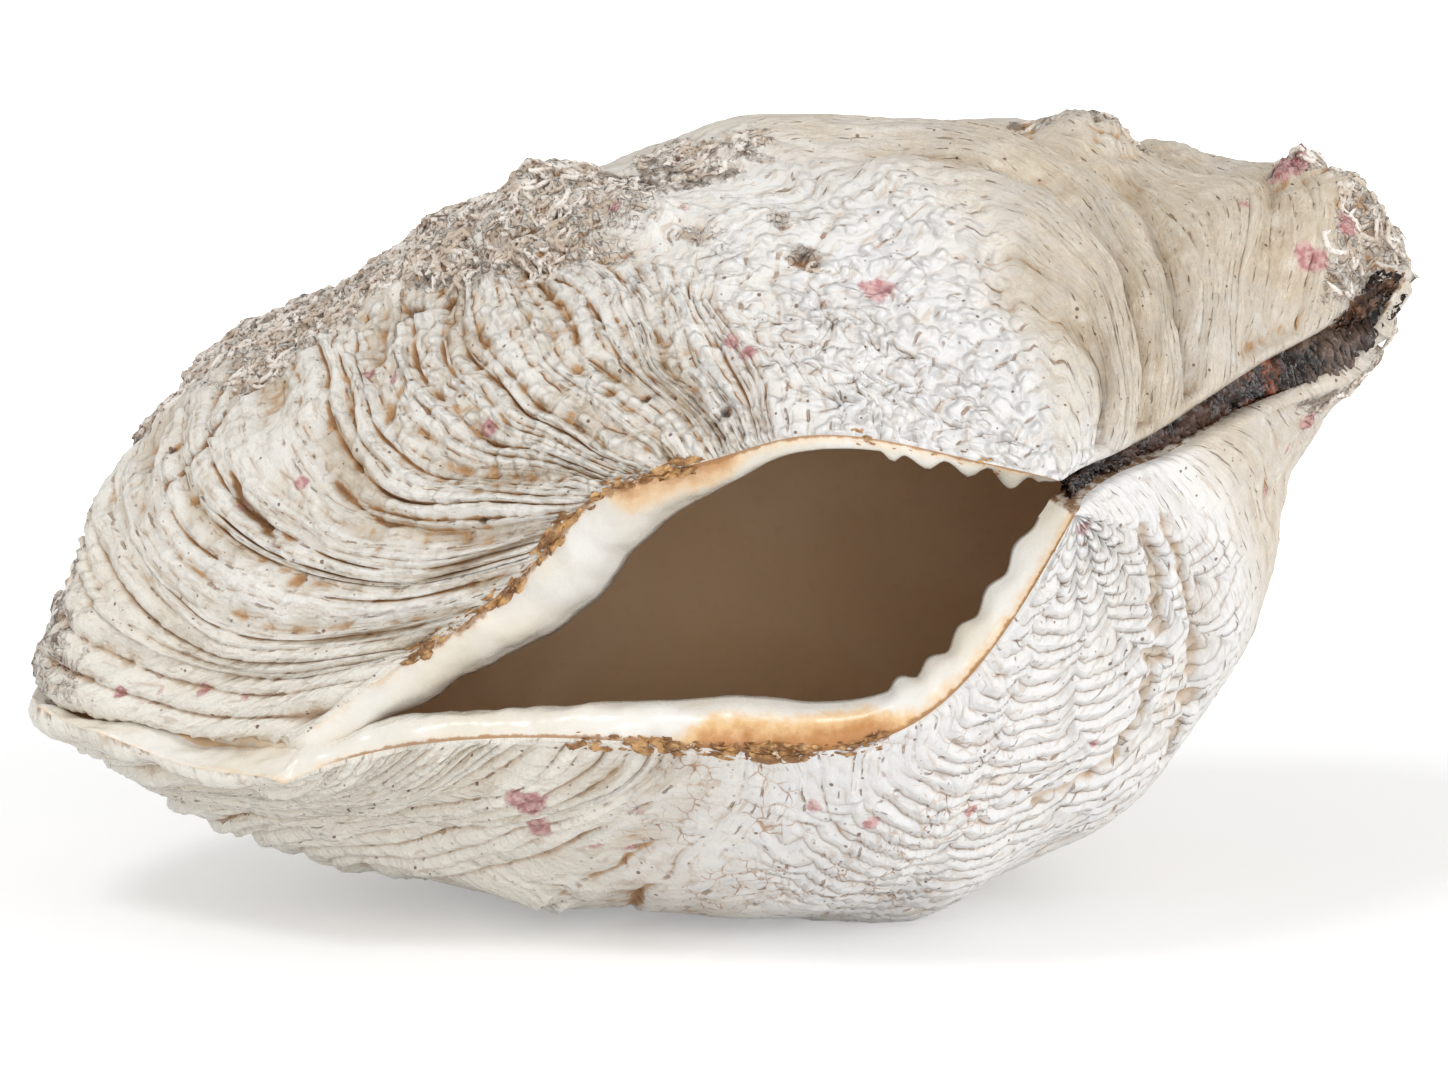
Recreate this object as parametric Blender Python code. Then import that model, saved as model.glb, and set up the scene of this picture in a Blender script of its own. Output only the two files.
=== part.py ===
"""A whole giant clam shell, 200 mm long: two valves still held together by their ligament.

The shell lies on its lower valve, +Z up, with the hinge and the byssal gape facing -Y and the
hinge's far end towards +X. Each valve is a patch in two directions: growth runs from the beak (0)
to the ventral margin (1), and around runs from the hinge line (0) to the rim of the gape (1).
"""

import bpy
import numpy as np

MM = 0.001

# Growth stages that carry control points, and the number of rays that cross them.
GROWTH_STAGES = (0.0, 0.15, 0.35, 0.6, 0.8, 1.0)
RAYS = 11

# Beaks and growth lines of the outer faces, in mm. Each line runs from the hinge to the gape.
UPPER_BEAK = (45, -58, 70)
UPPER_LINES = (
    ((52.6, -51, 71.8), (54, -46, 81), (52, -37, 90), (46, -30, 97), (38, -27, 100), (31, -28, 99),
     (25, -32, 95), (21, -38, 90), (19.5, -44, 85), (19, -51, 80), (19, -56, 76)),
    ((61, -42, 75), (62, -31, 89), (57, -14, 102), (42, -1, 109.5), (22, 4, 113.5), (2, 1, 111.5),
     (-14, -6, 107), (-25, -14, 102), (-20, -27, 94), (-9, -42, 84), (0, -52, 72.5)),
    ((75, -27, 81), (78, -12, 99), (71, 8, 107.5), (53, 26, 106.5), (27, 34, 105), (-1, 34, 99),
     (-29, 24, 94), (-52, 7, 87), (-60, -14, 80), (-45, -35, 65), (-18, -49, 66)),
    ((86, -15, 85), (91, 0, 99), (85, 19, 104.5), (62, 38, 95), (30, 48, 88), (-4, 50, 81),
     (-39, 41, 77), (-68, 22, 74), (-85, -9, 66.5), (-68, -30, 46), (-30, -44, 52)),
    ((97.5, -4, 92.4), (100, 13, 91.5), (94, 32, 84), (69, 50, 72), (34, 60, 65), (-6, 62, 58),
     (-44, 54, 48), (-78, 34, 40), (-99.5, -6, 36.5), (-84, -25, 31), (-60, -38, 32.5)),
)
LOWER_BEAK = (47, -58, 65.4)
LOWER_LINES = (
    ((53.5, -51, 69.3), (58, -48, 61), (59, -44, 51), (55, -41, 42), (50, -41, 36), (44, -43, 32),
     (39, -47, 31), (36, -51, 32), (34.5, -54, 34), (32.5, -57, 37), (30, -57.5, 40)),
    ((62, -42, 71.4), (70, -36, 59), (72, -27, 44), (67, -19, 28), (56, -16, 16), (42, -17, 7),
     (29, -21, 2.5), (18, -28, 3), (11, -37, 8.5), (7, -47, 19), (5, -54, 32)),
    ((76, -27, 75.2), (81, -16, 65), (79, 0, 51), (68, 16, 31), (47, 22, 12), (18, 20, 1.2),
     (-10, 12, 0.2), (-32, 0, 2), (-42, -19, 7), (-34, -38, 17), (-22, -50, 33)),
    ((88.5, -16, 78), (93, 1, 75.5), (86.5, 24, 69), (70, 42, 49), (36, 49, 32), (-2, 48, 20),
     (-38, 36, 13), (-64, 15, 13.5), (-71, -12, 14), (-54, -34, 20), (-44, -45, 30.5)),
    ((99, -6.5, 89), (100, 13, 90.7), (94, 32, 83.2), (69, 50, 71.2), (34, 60, 64.2),
     (-6, 62, 57.2), (-44, 54, 47.2), (-78, 34, 39.2), (-100, -9, 33), (-82, -30, 24),
     (-60, -41, 24.5)),
)

# From the outer edge to the inner edge of the lip beside the gape, one per growth stage, in mm.
UPPER_GAPE_LIP = ((-1, 5, -1), (0.5, 4.5, -1.5), (1.5, 6, -4.5), (6, 7, -8.3), (8, 7, -6), (5, 5, -2.5))
LOWER_GAPE_LIP = ((-3, 4.5, 1.5), (-2, 5, 3.6), (0, 6, 6.8), (1, 6, 3.4), (2, 6, 3.8), (3, 5, 4.6))
HINGE_FACE = (-3.6, 3.6, 0)
HINGE_FACE_AT_END = (-4.5, 1, 0)

WALL = 5.0
WALL_AT_BEAK = 6.0
MARGIN_WIDTH = 4.5
LOWER_LIP_RISE = 4.5

FOLDS_AROUND = 5
FOLD_CREST = 0.7
FOLD_HEIGHT = 5.5
FOLD_GROWTH = 1.8

LIGAMENT_GAP = 0.4
LIGAMENT_RECESS = 0.22
LIGAMENT_DEPTH = 0.85
LIGAMENT_SWELL = 0.15
LIGAMENT_ENDS = (0.06, 0.95)

# The points above are placed about the beak's plane; this brings the box's middle to the origin.
TO_ORIGIN = (0, -2.12, 0)

COLUMNS = 40
ROWS = 24
LIP_ROWS = 3
LIGAMENT_STEPS = 22


def smooth_step(low, high, value):
    share = np.clip((value - low) / (high - low), 0, 1)
    return share * share * (3 - 2 * share)


def spline_weights(knots, where):
    """Rows of weights that a natural cubic spline gives the values at the knots."""
    knots = np.asarray(knots, float)
    count = len(knots)
    gaps = np.diff(knots)
    bends = np.eye(count)
    jumps = np.zeros((count, count))
    for k in range(1, count - 1):
        bends[k, k - 1 : k + 2] = gaps[k - 1], 2 * (gaps[k - 1] + gaps[k]), gaps[k]
        jumps[k, k - 1 : k + 2] = 6 / gaps[k - 1], -6 / gaps[k - 1] - 6 / gaps[k], 6 / gaps[k]
    curvature = np.linalg.solve(bends, jumps)
    span = np.clip(np.searchsorted(knots, where) - 1, 0, count - 2)
    gap = gaps[span][:, None]
    before = (knots[span + 1] - where)[:, None] / gap
    after = 1 - before
    values = np.eye(count)
    bent = (before**3 - before) * curvature[span] + (after**3 - after) * curvature[span + 1]
    return before * values[span] + after * values[span + 1] + bent * gap**2 / 6


def patch(net, around, growth):
    """Points of the smooth surface through a net, as an array over growth, around and x, y, z."""
    along = spline_weights(GROWTH_STAGES, growth)
    across = spline_weights(np.linspace(0, 1, RAYS), around)
    return np.einsum("ti,ijk,uj->tuk", along, net, across)


def unit(vectors):
    return vectors / np.maximum(np.linalg.norm(vectors, axis=-1, keepdims=True), 1e-9)


def outward(net, around, growth, side):
    """Unit normals that point out of the shell: side is 1 on the upper valve and -1 on the lower."""
    step = 1e-3
    growth = np.maximum(growth, 0.02)
    by_growth = patch(net, around, growth + step) - patch(net, around, growth - step)
    by_around = patch(net, around + step, growth) - patch(net, around - step, growth)
    return unit(np.cross(by_growth, by_around)) * side


def outer_net(beak, lines):
    return np.array([[beak] * RAYS, *lines], float)


def inner_net(net, side, gape_lip):
    """The net of the inner face: a wall's thickness inside the outer one, and a lip at each edge."""
    rays = np.linspace(0, 1, RAYS)
    growth = np.array(GROWTH_STAGES)
    walls = WALL + (WALL_AT_BEAK - WALL) * (1 - growth)[:, None, None]
    inner = net - outward(net, rays, growth, side) * walls
    inner[0] = net[0] + np.array(gape_lip[0], float)
    inner[1:, 0] = net[1:, 0] + HINGE_FACE
    inner[1:, -1] = net[1:, -1] + np.array(gape_lip[1:], float)
    margin_run = patch(net, rays + 1e-3, growth[-1:])[0] - patch(net, rays - 1e-3, growth[-1:])[0]
    inward = unit(np.cross(margin_run, (0, 0, -1)))
    inner[-1, 1:-1] = net[-1, 1:-1] + inward[1:-1] * MARGIN_WIDTH
    if side < 0:
        inner[-1, 1:-1, 2] += LOWER_LIP_RISE * smooth_step(0.78, 0.9, rays[1:-1])
    inner[-1, 0] = net[-1, 0] + HINGE_FACE_AT_END
    return inner


def fold_window(around):
    """1 on the back of the shell, falling to 0 at the hinge and at the gape."""
    rise = smooth_step(0.04, 0.25, around)
    fall = 1 - 0.65 * smooth_step(0.72, 0.86, around)
    end = 1 - smooth_step(0.86, 0.99, around)
    return rise * fall * end


def fold_lift(around, growth):
    """How far the radial folds carry the shell up from its smooth form, in mm."""
    phase = 2 * np.pi * FOLDS_AROUND * (around[None, :] - FOLD_CREST)
    return FOLD_HEIGHT * growth[:, None] ** FOLD_GROWTH * fold_window(around)[None, :] * np.cos(phase)


def faces_of(net, inner, around, growth, side):
    """Outer and inner faces of a valve, in mm, folded and worn flat where it stands."""
    lift = np.array((0, 0, 1.0))
    folds = fold_lift(around, growth)[..., None]
    to_margin = smooth_step(0.75, 1.0, growth)[:, None, None]
    normals = outward(net, around, growth, side) * side
    outer = patch(net, around, growth) + unit(normals * (1 - to_margin) + lift * to_margin) * folds
    inside = patch(inner, around, growth) + lift * folds * growth[:, None, None] ** 2
    outer[..., 2] = np.maximum(outer[..., 2], 0)
    return outer, inside


def lip_between(outer_edge, inner_edge, bulge):
    """Rows of points from an outer edge to an inner one, arched by the bulge vectors."""
    rows = []
    for row in range(1, LIP_ROWS):
        share = row / LIP_ROWS
        arch = np.sin(np.pi * share) * bulge
        rows.append(outer_edge * (1 - share) + inner_edge * share + arch)
    return rows


def build_valve(name, nets, side, gape_bulge, colour):
    """One valve as a closed mesh: outer face, inner face, and a lip along their three edges."""
    around = np.linspace(0, 1, COLUMNS + 1)
    growth = np.linspace(0, 1, ROWS + 1) ** 1.15
    outer, inner = faces_of(*nets, around, growth, side)

    points = []

    def add(point):
        points.append(point)
        return len(points) - 1

    def add_grid(grid):
        pole = add(grid[0, 0])
        return [[pole] * (COLUMNS + 1)] + [[add(point) for point in row] for row in grid[1:]]

    outer_ids = add_grid(outer)
    inner_ids = add_grid(inner)

    # The border runs from the beak down the hinge, along the margin and back up the gape.
    places = [(0, 0)] + [(row, 0) for row in range(1, ROWS + 1)]
    places += [(ROWS, column) for column in range(1, COLUMNS + 1)]
    places += [(row, COLUMNS) for row in range(ROWS - 1, 0, -1)]
    outer_edge = np.array([outer[place] for place in places])
    inner_edge = np.array([inner[place] for place in places])
    at_gape = np.array([place[1] == COLUMNS and place[0] < ROWS for place in places])
    taper = np.array([smooth_step(0, 0.12, growth[place[0]]) for place in places])
    bulge = (at_gape * taper)[:, None] * np.array(gape_bulge, float)
    lip_ids = [[outer_ids[row][column] for row, column in places]]
    lip_ids += [[add(point) for point in row] for row in lip_between(outer_edge, inner_edge, bulge)]
    lip_ids += [[inner_ids[row][column] for row, column in places]]

    faces = []

    def add_face(*corners):
        loop = [corner for k, corner in enumerate(corners) if corner != corners[k - 1]]
        faces.append(loop if side > 0 else loop[::-1])

    for row in range(ROWS):
        for column in range(COLUMNS):
            a, b = outer_ids[row][column], outer_ids[row][column + 1]
            c, d = outer_ids[row + 1][column + 1], outer_ids[row + 1][column]
            add_face(a, d, c, b)
            a, b = inner_ids[row][column], inner_ids[row][column + 1]
            c, d = inner_ids[row + 1][column + 1], inner_ids[row + 1][column]
            add_face(a, b, c, d)
    for low, high in zip(lip_ids, lip_ids[1:]):
        for k in range(len(places)):
            after = (k + 1) % len(places)
            add_face(low[k], high[k], high[after], low[after])
    return add_object(name, points, faces, colour)


def build_ligament(upper, lower, colour):
    """The leathery band between the two hinge faces, set back a little from their outer edges."""
    growth = np.linspace(*LIGAMENT_ENDS, LIGAMENT_STEPS + 1)
    edges = [[face[:, 0] for face in faces_of(*nets, np.zeros(1), growth, side)]
             for nets, side in ((upper, 1), (lower, -1))]

    def at_depth(share):
        top, bottom = (edge * (1 - share) + inner * share for edge, inner in edges)
        gap = unit(top - bottom) * LIGAMENT_GAP
        return top - gap, bottom + gap

    top, bottom = at_depth(LIGAMENT_RECESS)
    inner_top, inner_bottom = at_depth(LIGAMENT_DEPTH)
    swell = (inner_top - top) * LIGAMENT_SWELL
    middle = (top + bottom) / 2 - swell
    inner_middle = (inner_top + inner_bottom) / 2 + swell
    rings = (top, middle, bottom, inner_bottom, inner_middle, inner_top)
    points = [ring[step] for step in range(LIGAMENT_STEPS + 1) for ring in rings]
    sides = len(rings)
    faces = [list(reversed(range(sides))), [LIGAMENT_STEPS * sides + k for k in range(sides)]]
    for step in range(LIGAMENT_STEPS):
        for k in range(sides):
            a, b = step * sides + k, step * sides + (k + 1) % sides
            faces.append([a, b, b + sides, a + sides])
    return add_object("ligament", points, faces, colour)


def add_object(name, points, faces, colour):
    mesh = bpy.data.meshes.new(name)
    mesh.from_pydata([tuple((point + TO_ORIGIN) * MM) for point in points], [], faces)
    mesh.update()
    mesh.shade_smooth()
    mesh.materials.append(make_material(name, *colour))
    made = bpy.data.objects.new(name, mesh)
    bpy.context.scene.collection.objects.link(made)
    return made


def make_material(name, base, roughness):
    material = bpy.data.materials.new(name)
    material.use_nodes = True
    shader = material.node_tree.nodes["Principled BSDF"]
    shader.inputs["Base Color"].default_value = (*base, 1)
    shader.inputs["Roughness"].default_value = roughness
    return material


def valve_nets(beak, lines, side, gape_lip):
    net = outer_net(beak, lines)
    return net, inner_net(net, side, gape_lip)


def main():
    for old in list(bpy.data.objects):
        bpy.data.objects.remove(old)
    upper = valve_nets(UPPER_BEAK, UPPER_LINES, 1, UPPER_GAPE_LIP)
    lower = valve_nets(LOWER_BEAK, LOWER_LINES, -1, LOWER_GAPE_LIP)
    build_valve("upper_valve", upper, 1, (0, -1.6, -1.2), ((0.72, 0.67, 0.58), 0.8))
    build_valve("lower_valve", lower, -1, (0, -1.6, 1.2), ((0.74, 0.70, 0.62), 0.8))
    build_ligament(upper, lower, ((0.09, 0.055, 0.035), 0.45))


main()
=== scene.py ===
# %% [markdown]
# # A whole giant clam shell
# Two thick, fluted halves lie closed on one another, still joined by a dark ligament. A clam adds
# to its shell only along the edge, so everything on it follows two directions: growth lines that
# sweep round the beak, and rays that leave the beak. This lesson builds each half as one surface
# over those two directions, lets Geometry Nodes carve the growth relief into it, and dresses it
# with layered procedural materials.

# %% Load the fixed frame
import math

import bpy
import numpy as np
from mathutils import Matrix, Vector


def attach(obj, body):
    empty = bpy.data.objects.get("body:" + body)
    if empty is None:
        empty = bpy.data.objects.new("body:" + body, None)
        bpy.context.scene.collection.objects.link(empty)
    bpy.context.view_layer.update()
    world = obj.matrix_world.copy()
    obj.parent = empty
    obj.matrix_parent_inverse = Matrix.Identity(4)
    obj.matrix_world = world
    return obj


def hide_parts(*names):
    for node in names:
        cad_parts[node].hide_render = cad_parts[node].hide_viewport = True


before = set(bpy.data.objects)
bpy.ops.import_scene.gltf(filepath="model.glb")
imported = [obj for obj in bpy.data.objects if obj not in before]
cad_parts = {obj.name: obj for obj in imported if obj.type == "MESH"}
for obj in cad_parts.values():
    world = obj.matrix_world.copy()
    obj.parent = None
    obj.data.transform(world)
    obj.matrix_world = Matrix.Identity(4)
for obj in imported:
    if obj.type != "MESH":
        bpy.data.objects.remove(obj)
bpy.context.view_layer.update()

MM = 0.001

# %% [markdown]
# ## Camera, light and floor
# The shell lies on a white table and is seen from a little above, so the near rim of the lower
# half hides the floor of the hollow. A long lens keeps the halves from bulging. The light is a
# soft key lamp from above and the left, two lower lamps from the front and the right, and a white
# room around them, at a level where a pale colour renders as pale as it is written.

# %% Camera
LOOK_AT = Vector((0.0004, -0.0021, 0.0514))
CAMERA_DISTANCE = 0.75
CAMERA_ELEVATION = math.radians(10)
LENS = 129.3


def make_camera():
    away = Vector((0, -math.cos(CAMERA_ELEVATION), math.sin(CAMERA_ELEVATION)))
    data = bpy.data.cameras.new("camera")
    data.lens = LENS
    camera = bpy.data.objects.new("camera", data)
    camera.location = LOOK_AT + away * CAMERA_DISTANCE
    camera.rotation_euler = (-away).to_track_quat("-Z", "Y").to_euler()
    bpy.context.scene.collection.objects.link(camera)
    bpy.context.scene.camera = camera
    return camera


print("camera at", [round(value, 3) for value in make_camera().location])

# %% Node helpers
# Every tree below is wired with these two calls: node() adds a node and fills its sockets, and
# a socket value may be a plain value or the output of another node.


def feed(tree, socket, value):
    if isinstance(value, bpy.types.NodeSocket):
        tree.links.new(value, socket)
    elif value is not None:
        socket.default_value = value


def node(tree, kind, inputs=None, **settings):
    made = tree.nodes.new(kind)
    for name, value in settings.items():
        setattr(made, name, value)
    for key, value in (inputs or {}).items():
        feed(tree, made.inputs[key], value)
    return made


def math_node(tree, operation, a, b=None, c=None, clamp=False):
    made = tree.nodes.new("ShaderNodeMath")
    made.operation = operation
    made.use_clamp = clamp
    for socket, value in zip(made.inputs, (a, b, c)):
        feed(tree, socket, value)
    return made.outputs[0]


def ramp(tree, value, low, high, to_low=0.0, to_high=1.0):
    """A smooth step from one value to another, clamped at both ends."""
    made = tree.nodes.new("ShaderNodeMapRange")
    made.interpolation_type = "SMOOTHSTEP"
    for name, number in (("Value", value), ("From Min", low), ("From Max", high),
                         ("To Min", to_low), ("To Max", to_high)):
        feed(tree, made.inputs[name], number)
    return made.outputs[0]


# %% Floor, room and lamps
def make_floor():
    mesh = bpy.data.meshes.new("floor")
    reach = 6.0
    mesh.from_pydata([(-reach, -reach, 0), (reach, -reach, 0), (reach, reach, 0), (-reach, reach, 0)],
                     [], [(0, 1, 2, 3)])
    floor = bpy.data.objects.new("floor", mesh)
    bpy.context.scene.collection.objects.link(floor)
    material = bpy.data.materials.new("floor_white")
    material.use_nodes = True
    tree = material.node_tree
    tree.nodes.clear()
    paper = node(tree, "ShaderNodeBsdfDiffuse", {"Color": (0.84, 0.84, 0.84, 1)})
    rays = node(tree, "ShaderNodeLightPath")
    seen = math_node(tree, "MAXIMUM", rays.outputs["Is Camera Ray"], rays.outputs["Is Glossy Ray"])
    seen = math_node(tree, "MAXIMUM", seen, rays.outputs["Is Transmission Ray"])
    spot = node(tree, "ShaderNodeTexCoord").outputs["Object"]
    away = node(tree, "ShaderNodeVectorMath", {0: spot}, operation="LENGTH").outputs["Value"]
    bright = ramp(tree, away, 0.12, 0.5, 0.3, 1.0)
    glow = node(tree, "ShaderNodeEmission", {"Color": (1, 1, 1, 1),
                                             "Strength": math_node(tree, "MULTIPLY", seen, bright)})
    both = node(tree, "ShaderNodeAddShader", {0: paper.outputs[0], 1: glow.outputs[0]})
    node(tree, "ShaderNodeOutputMaterial", {"Surface": both.outputs[0]})
    mesh.materials.append(material)
    return floor


def make_world():
    world = bpy.data.worlds.new("room")
    bpy.context.scene.world = world
    world.use_nodes = True
    tree = world.node_tree
    tree.nodes.clear()
    rays = node(tree, "ShaderNodeLightPath")
    strength = ramp(tree, rays.outputs["Is Camera Ray"], 0, 1, 0.62, 1.0)
    back = node(tree, "ShaderNodeBackground", {"Color": (1, 1, 1, 1), "Strength": strength})
    node(tree, "ShaderNodeOutputWorld", {"Surface": back.outputs[0]})


def make_lamp(name, place, size, power):
    data = bpy.data.lights.new(name, "AREA")
    data.shape = "DISK"
    data.size = size
    data.energy = power
    lamp = bpy.data.objects.new(name, data)
    lamp.location = place
    lamp.rotation_euler = (LOOK_AT - Vector(place)).to_track_quat("-Z", "Y").to_euler()
    bpy.context.scene.collection.objects.link(lamp)


make_floor()
make_world()
make_lamp("key", (-0.5, -0.5, 1.15), 0.4, 3.95)
make_lamp("front", (0.15, -1.1, 0.22), 0.6, 3.25)
make_lamp("right", (1.1, -0.35, 0.25), 0.6, 4.4)
bpy.context.scene.view_settings.view_transform = "Standard"
print("stage ready")

# %% [markdown]
# ## The two valves as surfaces
# Each half is described by five growth lines, every one crossed by the same eleven rays, and a
# smooth cubic surface passes through the crossings. The points are the ones the solid frame was
# built from, so the finished skin lies where the solids lie. The alternative, sculpting a blob,
# would lose the two directions that all the relief needs.

# %% The growth lines
GROWTH_STAGES = (0.0, 0.15, 0.35, 0.6, 0.8, 1.0)
RAYS = 11
UPPER_BEAK = (45, -58, 70)
UPPER_LINES = (
    ((52.6, -51, 71.8), (54, -46, 81), (52, -37, 90), (46, -30, 97), (38, -27, 100), (31, -28, 99),
     (25, -32, 95), (21, -38, 90), (19.5, -44, 85), (19, -51, 80), (19, -56, 76)),
    ((61, -42, 75), (62, -31, 89), (57, -14, 102), (42, -1, 109.5), (22, 4, 113.5), (2, 1, 111.5),
     (-14, -6, 107), (-25, -14, 102), (-20, -27, 94), (-9, -42, 84), (0, -52, 72.5)),
    ((75, -27, 81), (78, -12, 99), (71, 8, 107.5), (53, 26, 106.5), (27, 34, 105), (-1, 34, 99),
     (-29, 24, 94), (-52, 7, 87), (-60, -14, 80), (-45, -35, 65), (-18, -49, 66)),
    ((86, -15, 85), (91, 0, 99), (85, 19, 104.5), (62, 38, 95), (30, 48, 88), (-4, 50, 81),
     (-39, 41, 77), (-68, 22, 74), (-85, -9, 66.5), (-68, -30, 46), (-30, -44, 52)),
    ((97.5, -4, 92.4), (100, 13, 91.5), (94, 32, 84), (69, 50, 72), (34, 60, 65), (-6, 62, 58),
     (-44, 54, 48), (-78, 34, 40), (-99.5, -6, 36.5), (-84, -25, 31), (-60, -38, 32.5)),
)
LOWER_BEAK = (47, -58, 65.4)
LOWER_LINES = (
    ((53.5, -51, 69.3), (58, -48, 61), (59, -44, 51), (55, -41, 42), (50, -41, 36), (44, -43, 32),
     (39, -47, 31), (36, -51, 32), (34.5, -54, 34), (32.5, -57, 37), (30, -57.5, 40)),
    ((62, -42, 71.4), (70, -36, 59), (72, -27, 44), (67, -19, 28), (56, -16, 16), (42, -17, 7),
     (29, -21, 2.5), (18, -28, 3), (11, -37, 8.5), (7, -47, 19), (5, -54, 32)),
    ((76, -27, 75.2), (81, -16, 65), (79, 0, 51), (68, 16, 31), (47, 22, 12), (18, 20, 1.2),
     (-10, 12, 0.2), (-32, 0, 2), (-42, -19, 7), (-34, -38, 17), (-22, -50, 33)),
    ((88.5, -16, 78), (93, 1, 75.5), (86.5, 24, 69), (70, 42, 49), (36, 49, 32), (-2, 48, 20),
     (-38, 36, 13), (-64, 15, 13.5), (-71, -12, 14), (-54, -34, 20), (-44, -45, 30.5)),
    ((99, -6.5, 89), (100, 13, 90.7), (94, 32, 83.2), (69, 50, 71.2), (34, 60, 64.2),
     (-6, 62, 57.2), (-44, 54, 47.2), (-78, 34, 39.2), (-100, -9, 33), (-82, -30, 24),
     (-60, -41, 24.5)),
)
UPPER_GAPE_LIP = ((-1, 5, -1), (0.5, 4.5, -1.5), (1.5, 6, -4.5), (6, 7, -8.3), (8, 7, -6), (5, 5, -2.5))
LOWER_GAPE_LIP = ((-3, 4.5, 1.5), (-2, 5, 3.6), (0, 6, 6.8), (1, 6, 3.4), (2, 6, 3.8), (3, 5, 4.6))
HINGE_FACE = (-3.6, 3.6, 0)
HINGE_FACE_AT_END = (-4.5, 1, 0)
WALL = 5.0
WALL_AT_BEAK = 6.0
MARGIN_WIDTH = 4.5
LOWER_LIP_RISE = 4.5
FOLDS_AROUND = 5
FOLD_CREST = 0.7
FOLD_HEIGHT = 5.5
FOLD_GROWTH = 1.8
TO_ORIGIN = (0, -2.12, 0)
print("crossings per valve", len(UPPER_LINES) * RAYS)


# %% The surface through them
def smooth_step(low, high, value):
    share = np.clip((value - low) / (high - low), 0, 1)
    return share * share * (3 - 2 * share)


def unit(vectors):
    return vectors / np.maximum(np.linalg.norm(vectors, axis=-1, keepdims=True), 1e-9)


def spline_weights(knots, where):
    """Rows of weights that a natural cubic spline gives the values at the knots."""
    knots = np.asarray(knots, float)
    count = len(knots)
    gaps = np.diff(knots)
    bends = np.eye(count)
    jumps = np.zeros((count, count))
    for k in range(1, count - 1):
        bends[k, k - 1 : k + 2] = gaps[k - 1], 2 * (gaps[k - 1] + gaps[k]), gaps[k]
        jumps[k, k - 1 : k + 2] = 6 / gaps[k - 1], -6 / gaps[k - 1] - 6 / gaps[k], 6 / gaps[k]
    curvature = np.linalg.solve(bends, jumps)
    span = np.clip(np.searchsorted(knots, where) - 1, 0, count - 2)
    gap = gaps[span][:, None]
    before = (knots[span + 1] - where)[:, None] / gap
    after = 1 - before
    values = np.eye(count)
    bent = (before**3 - before) * curvature[span] + (after**3 - after) * curvature[span + 1]
    return before * values[span] + after * values[span + 1] + bent * gap**2 / 6


def surface(net, around, growth):
    """Points of the smooth surface at any places, given as arrays of the same shape."""
    shape = np.shape(around)
    along = spline_weights(GROWTH_STAGES, np.ravel(growth))
    across = spline_weights(np.linspace(0, 1, RAYS), np.ravel(around))
    rays = np.einsum("ni,ijk->njk", along, net)
    return np.einsum("njk,nj->nk", rays, across).reshape(*shape, 3)


def outward(net, around, growth, side):
    """Unit normals out of the shell: side is 1 on the upper valve and -1 on the lower one."""
    step = 1e-3
    growth = np.maximum(growth, 0.02)
    by_growth = surface(net, around, growth + step) - surface(net, around, growth - step)
    by_around = surface(net, around + step, growth) - surface(net, around - step, growth)
    return unit(np.cross(by_growth, by_around)) * side


def inner_net(net, side, gape_lip):
    """The net of the inner face: a wall's thickness inside the outer one, and a lip at each edge."""
    rays, growth = np.meshgrid(np.linspace(0, 1, RAYS), GROWTH_STAGES)
    walls = WALL + (WALL_AT_BEAK - WALL) * (1 - growth)[..., None]
    inner = net - outward(net, rays, growth, side) * walls
    inner[0] = net[0] + np.array(gape_lip[0], float)
    inner[1:, 0] = net[1:, 0] + HINGE_FACE
    inner[1:, -1] = net[1:, -1] + np.array(gape_lip[1:], float)
    last = rays[-1]
    run = surface(net, last + 1e-3, growth[-1]) - surface(net, last - 1e-3, growth[-1])
    inward = unit(np.cross(run, (0, 0, -1)))
    inner[-1, 1:-1] = net[-1, 1:-1] + inward[1:-1] * MARGIN_WIDTH
    if side < 0:
        inner[-1, 1:-1, 2] += LOWER_LIP_RISE * smooth_step(0.78, 0.9, last[1:-1])
    inner[-1, 0] = net[-1, 0] + HINGE_FACE_AT_END
    return inner


def valve_nets(beak, lines, side, gape_lip):
    net = np.array([[beak] * RAYS, *lines], float)
    return net, inner_net(net, side, gape_lip)


NETS = {1: valve_nets(UPPER_BEAK, UPPER_LINES, 1, UPPER_GAPE_LIP),
        -1: valve_nets(LOWER_BEAK, LOWER_LINES, -1, LOWER_GAPE_LIP)}
print("upper valve reaches", NETS[1][0].max(axis=(0, 1)).round(1), "mm")


# %% The radial folds
# Five broad folds run out from the beak. At the back they interlock like fingers, which is why
# the lower half is carried up wherever the upper one is.
def fold_window(around):
    """1 on the back of the shell, falling to 0 at the hinge and at the gape."""
    rise = smooth_step(0.04, 0.25, around)
    fall = 1 - 0.65 * smooth_step(0.72, 0.86, around)
    return rise * fall * (1 - smooth_step(0.86, 0.99, around))


def fold_lift(around, growth):
    phase = 2 * np.pi * FOLDS_AROUND * (around - FOLD_CREST)
    return FOLD_HEIGHT * growth**FOLD_GROWTH * fold_window(around) * np.cos(phase)


def outer_points(side, around, growth):
    """Folded outer face and its outward normals, in mm."""
    net = NETS[side][0]
    up = np.array((0, 0, 1.0))
    to_margin = smooth_step(0.75, 1.0, growth)[..., None]
    normals = outward(net, around, growth, side)
    lifted = unit(normals * side * (1 - to_margin) + up * to_margin)
    points = surface(net, around, growth) + lifted * fold_lift(around, growth)[..., None]
    points[..., 2] = np.maximum(points[..., 2], 0)
    return points + TO_ORIGIN, normals


def inner_points(side, around, growth):
    lift = np.array((0, 0, 1.0)) * (fold_lift(around, growth) * growth**2)[..., None]
    return surface(NETS[side][1], around, growth) + lift + TO_ORIGIN


MARGIN_SAG = 2.2


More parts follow.
